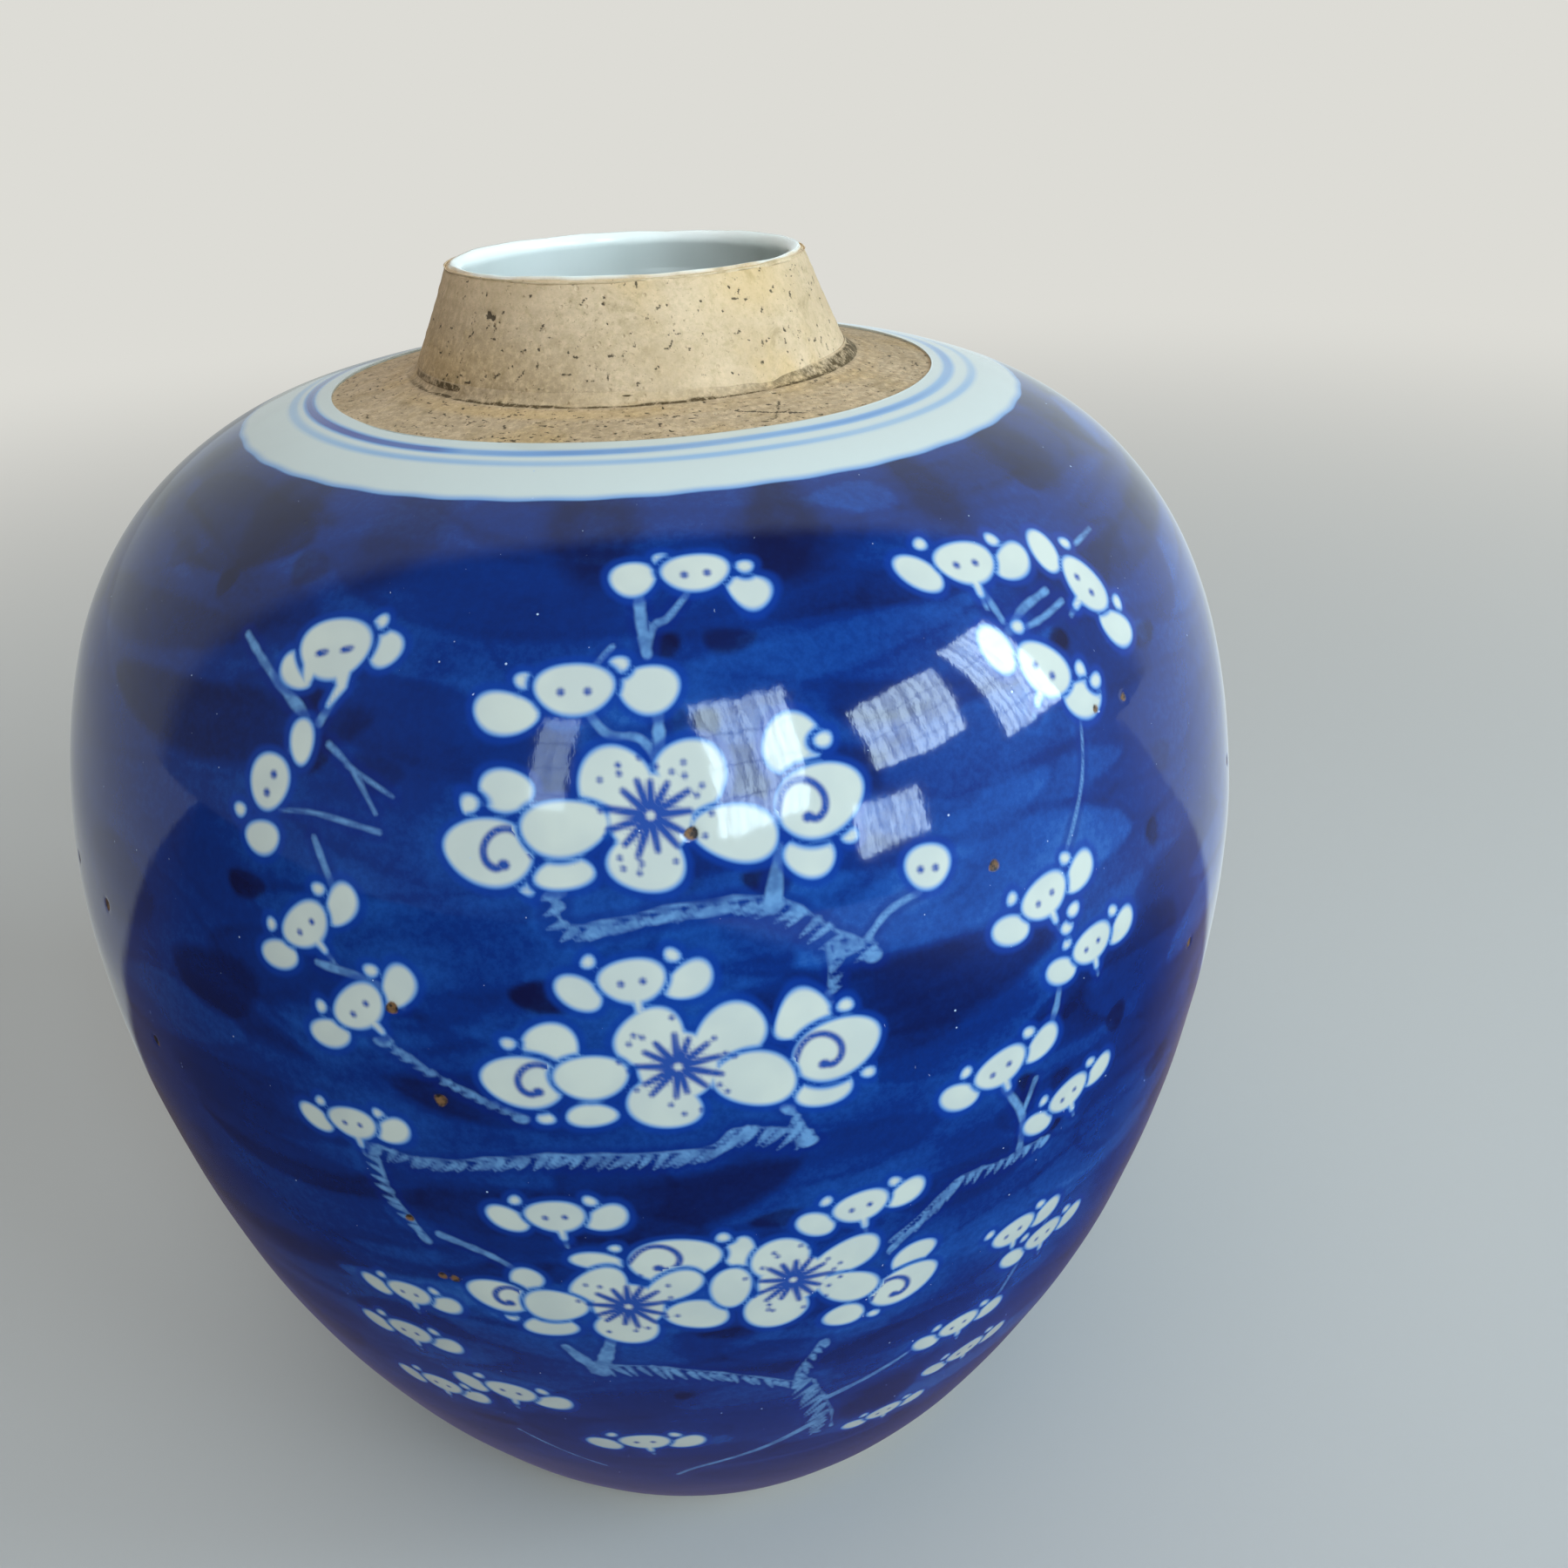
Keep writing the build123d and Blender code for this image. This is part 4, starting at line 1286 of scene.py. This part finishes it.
def soft_light(name, place, aim, size, power, colour, mirrored=True):
    """A rectangular lamp at a place, facing aim. If it isn't mirrored, the glaze doesn't reflect it."""
    data = bpy.data.lights.new(name, "AREA")
    data.shape = "RECTANGLE"
    data.size, data.size_y = size
    data.energy = power
    data.color = colour
    lamp = placed(name, data)
    lamp.location = place
    lamp.rotation_euler = (Vector(place) - Vector(aim)).to_track_quat("Z", "Y").to_euler()
    lamp.visible_glossy = mirrored
    lamp.visible_camera = False
    return lamp


def curtained(lamp):
    """Breaks a lamp's face up like a window with a thin curtain: upright folds, crossbars, ragged edges."""
    lamp.data.use_nodes = True
    w = Wiring(lamp.data.node_tree)
    across = w.node("ShaderNodeNewGeometry").outputs["Parametric"]

    def noise(stretch, detail):
        spread = w.node("ShaderNodeMapping", {"Vector": across, "Location": lamp.location, "Scale": stretch})
        inputs = {"Vector": spread.outputs[0], "Scale": 1.0, "Detail": detail, "Distortion": 0.3}
        return w.node("ShaderNodeTexNoise", inputs).outputs["Fac"]

    def lines(position, pitch, width, gap):
        """0 to 1 across evenly spaced dark lines that let only gap through."""
        return w.step(w.math("PINGPONG", position, pitch), 0.0, width, gap, 1.0)

    middle = {0: across, 1: (0.5, 0.5, 0)}
    from_middle = w.node("ShaderNodeVectorMath", middle, operation="SUBTRACT").outputs[0]
    sides = w.node("ShaderNodeSeparateXYZ", {0: from_middle}).outputs
    furthest = w.math("MAXIMUM", w.math("ABSOLUTE", sides[0], 0), w.math("ABSOLUTE", sides[1], 0))
    ragged = w.math("ADD", furthest, w.times(noise((9, 9, 1), 3), 0.10))
    face = w.step(ragged, 0.52, 0.54, 1.0, 0.0)
    broad = w.step(noise((12, 1.6, 1), 2), 0.42, 0.50, 0.65, 1.0)
    wandering = w.math("ADD", sides[0], w.times(noise((5, 3, 1), 3), 0.12))
    folds = w.times(lines(wandering, FOLD_PITCH, 0.022, 0.1), broad)
    sagging = w.math("ADD", sides[1], w.times(noise((5, 5, 1), 2), 0.08))
    bars = lines(sagging, BAR_PITCH, 0.010, 0.25)
    bright = w.times(w.times(face, folds), w.times(bars, CURTAIN_GAIN))
    w.feed(w.tree.nodes["Emission"].inputs["Strength"], bright)


def room():
    """The light around: a pale room behind the jar, brighter on the right, and a dim one behind the viewer,
    which keeps the glaze deep. Seen directly, it is pale on every side."""
    world = bpy.data.worlds.new("room")
    bpy.context.scene.world = world
    world.use_nodes = True
    w = Wiring(world.node_tree)
    towards = w.node("ShaderNodeTexCoord").outputs["Generated"]
    axis = w.node("ShaderNodeSeparateXYZ", {"Vector": towards}).outputs
    dim = (*(ROOM_DIM * part for part in ROOM_COLOUR[:3]), 1.0)
    far_side = w.mix(w.step(axis["X"], -1.1, 0.6), ROOM_LEFT, ROOM_RIGHT)
    near_left = w.mix(w.step(axis["X"], -0.85, -0.45, SIDE_GLOW * 0.5, 0.0), dim, ROOM_LEFT)
    near_side = w.mix(w.step(axis["X"], 0.45, 0.88, 0.0, SIDE_GLOW), near_left, ROOM_RIGHT)
    around = w.mix(w.step(axis["Y"], 0.16, 0.30), near_side, far_side)
    seen = w.mix(w.node("ShaderNodeLightPath").outputs["Is Camera Ray"], around, ROOM_COLOUR)
    w.feed(w.tree.nodes["Background"].inputs["Color"], seen)


def studio_lights():
    """Soft daylight from panes behind the viewer, mostly on the right, and warm light from the ceiling."""
    for name, place, size, power in PANES:
        curtained(soft_light(name, place, (0, 0, 0.17), size, power, DAYLIGHT))
    soft_light("ceiling", (-0.3, -0.8, 1.9), (0, 0, 0.15), (1.6, 1.6), 10, (1.0, 0.84, 0.76), mirrored=False)
    room()


def viewpoint():
    """The camera, close above the front of the jar, looking down at it and a little to the right."""
    yaw, pitch, roll = radians(YAW), radians(PITCH), radians(ROLL)
    ahead = Vector((sin(yaw) * cos(pitch), cos(yaw) * cos(pitch), -sin(pitch)))
    right = Vector((cos(yaw), -sin(yaw), 0))
    up = right.cross(ahead)
    x = right * cos(roll) + up * sin(roll)
    y = up * cos(roll) - right * sin(roll)
    data = bpy.data.cameras.new("camera")
    data.lens, data.sensor_width = LENS, 36
    data.clip_start = 0.01
    camera = placed("camera", data)
    turn = Matrix((x, y, -ahead)).transposed().to_4x4()
    camera.matrix_world = Matrix.Translation(CAMERA_PLACE) @ turn
    bpy.context.scene.camera = camera


build_outer_glaze()
build_inner_glaze()
build_neck()
build_neck_slip()
build_upper_body()
build_lower_body()
build_base_glaze()
dress_belly_slip()
true_colours()
plain_stage()
studio_lights()
viewpoint()

bpy.context.view_layer.update()
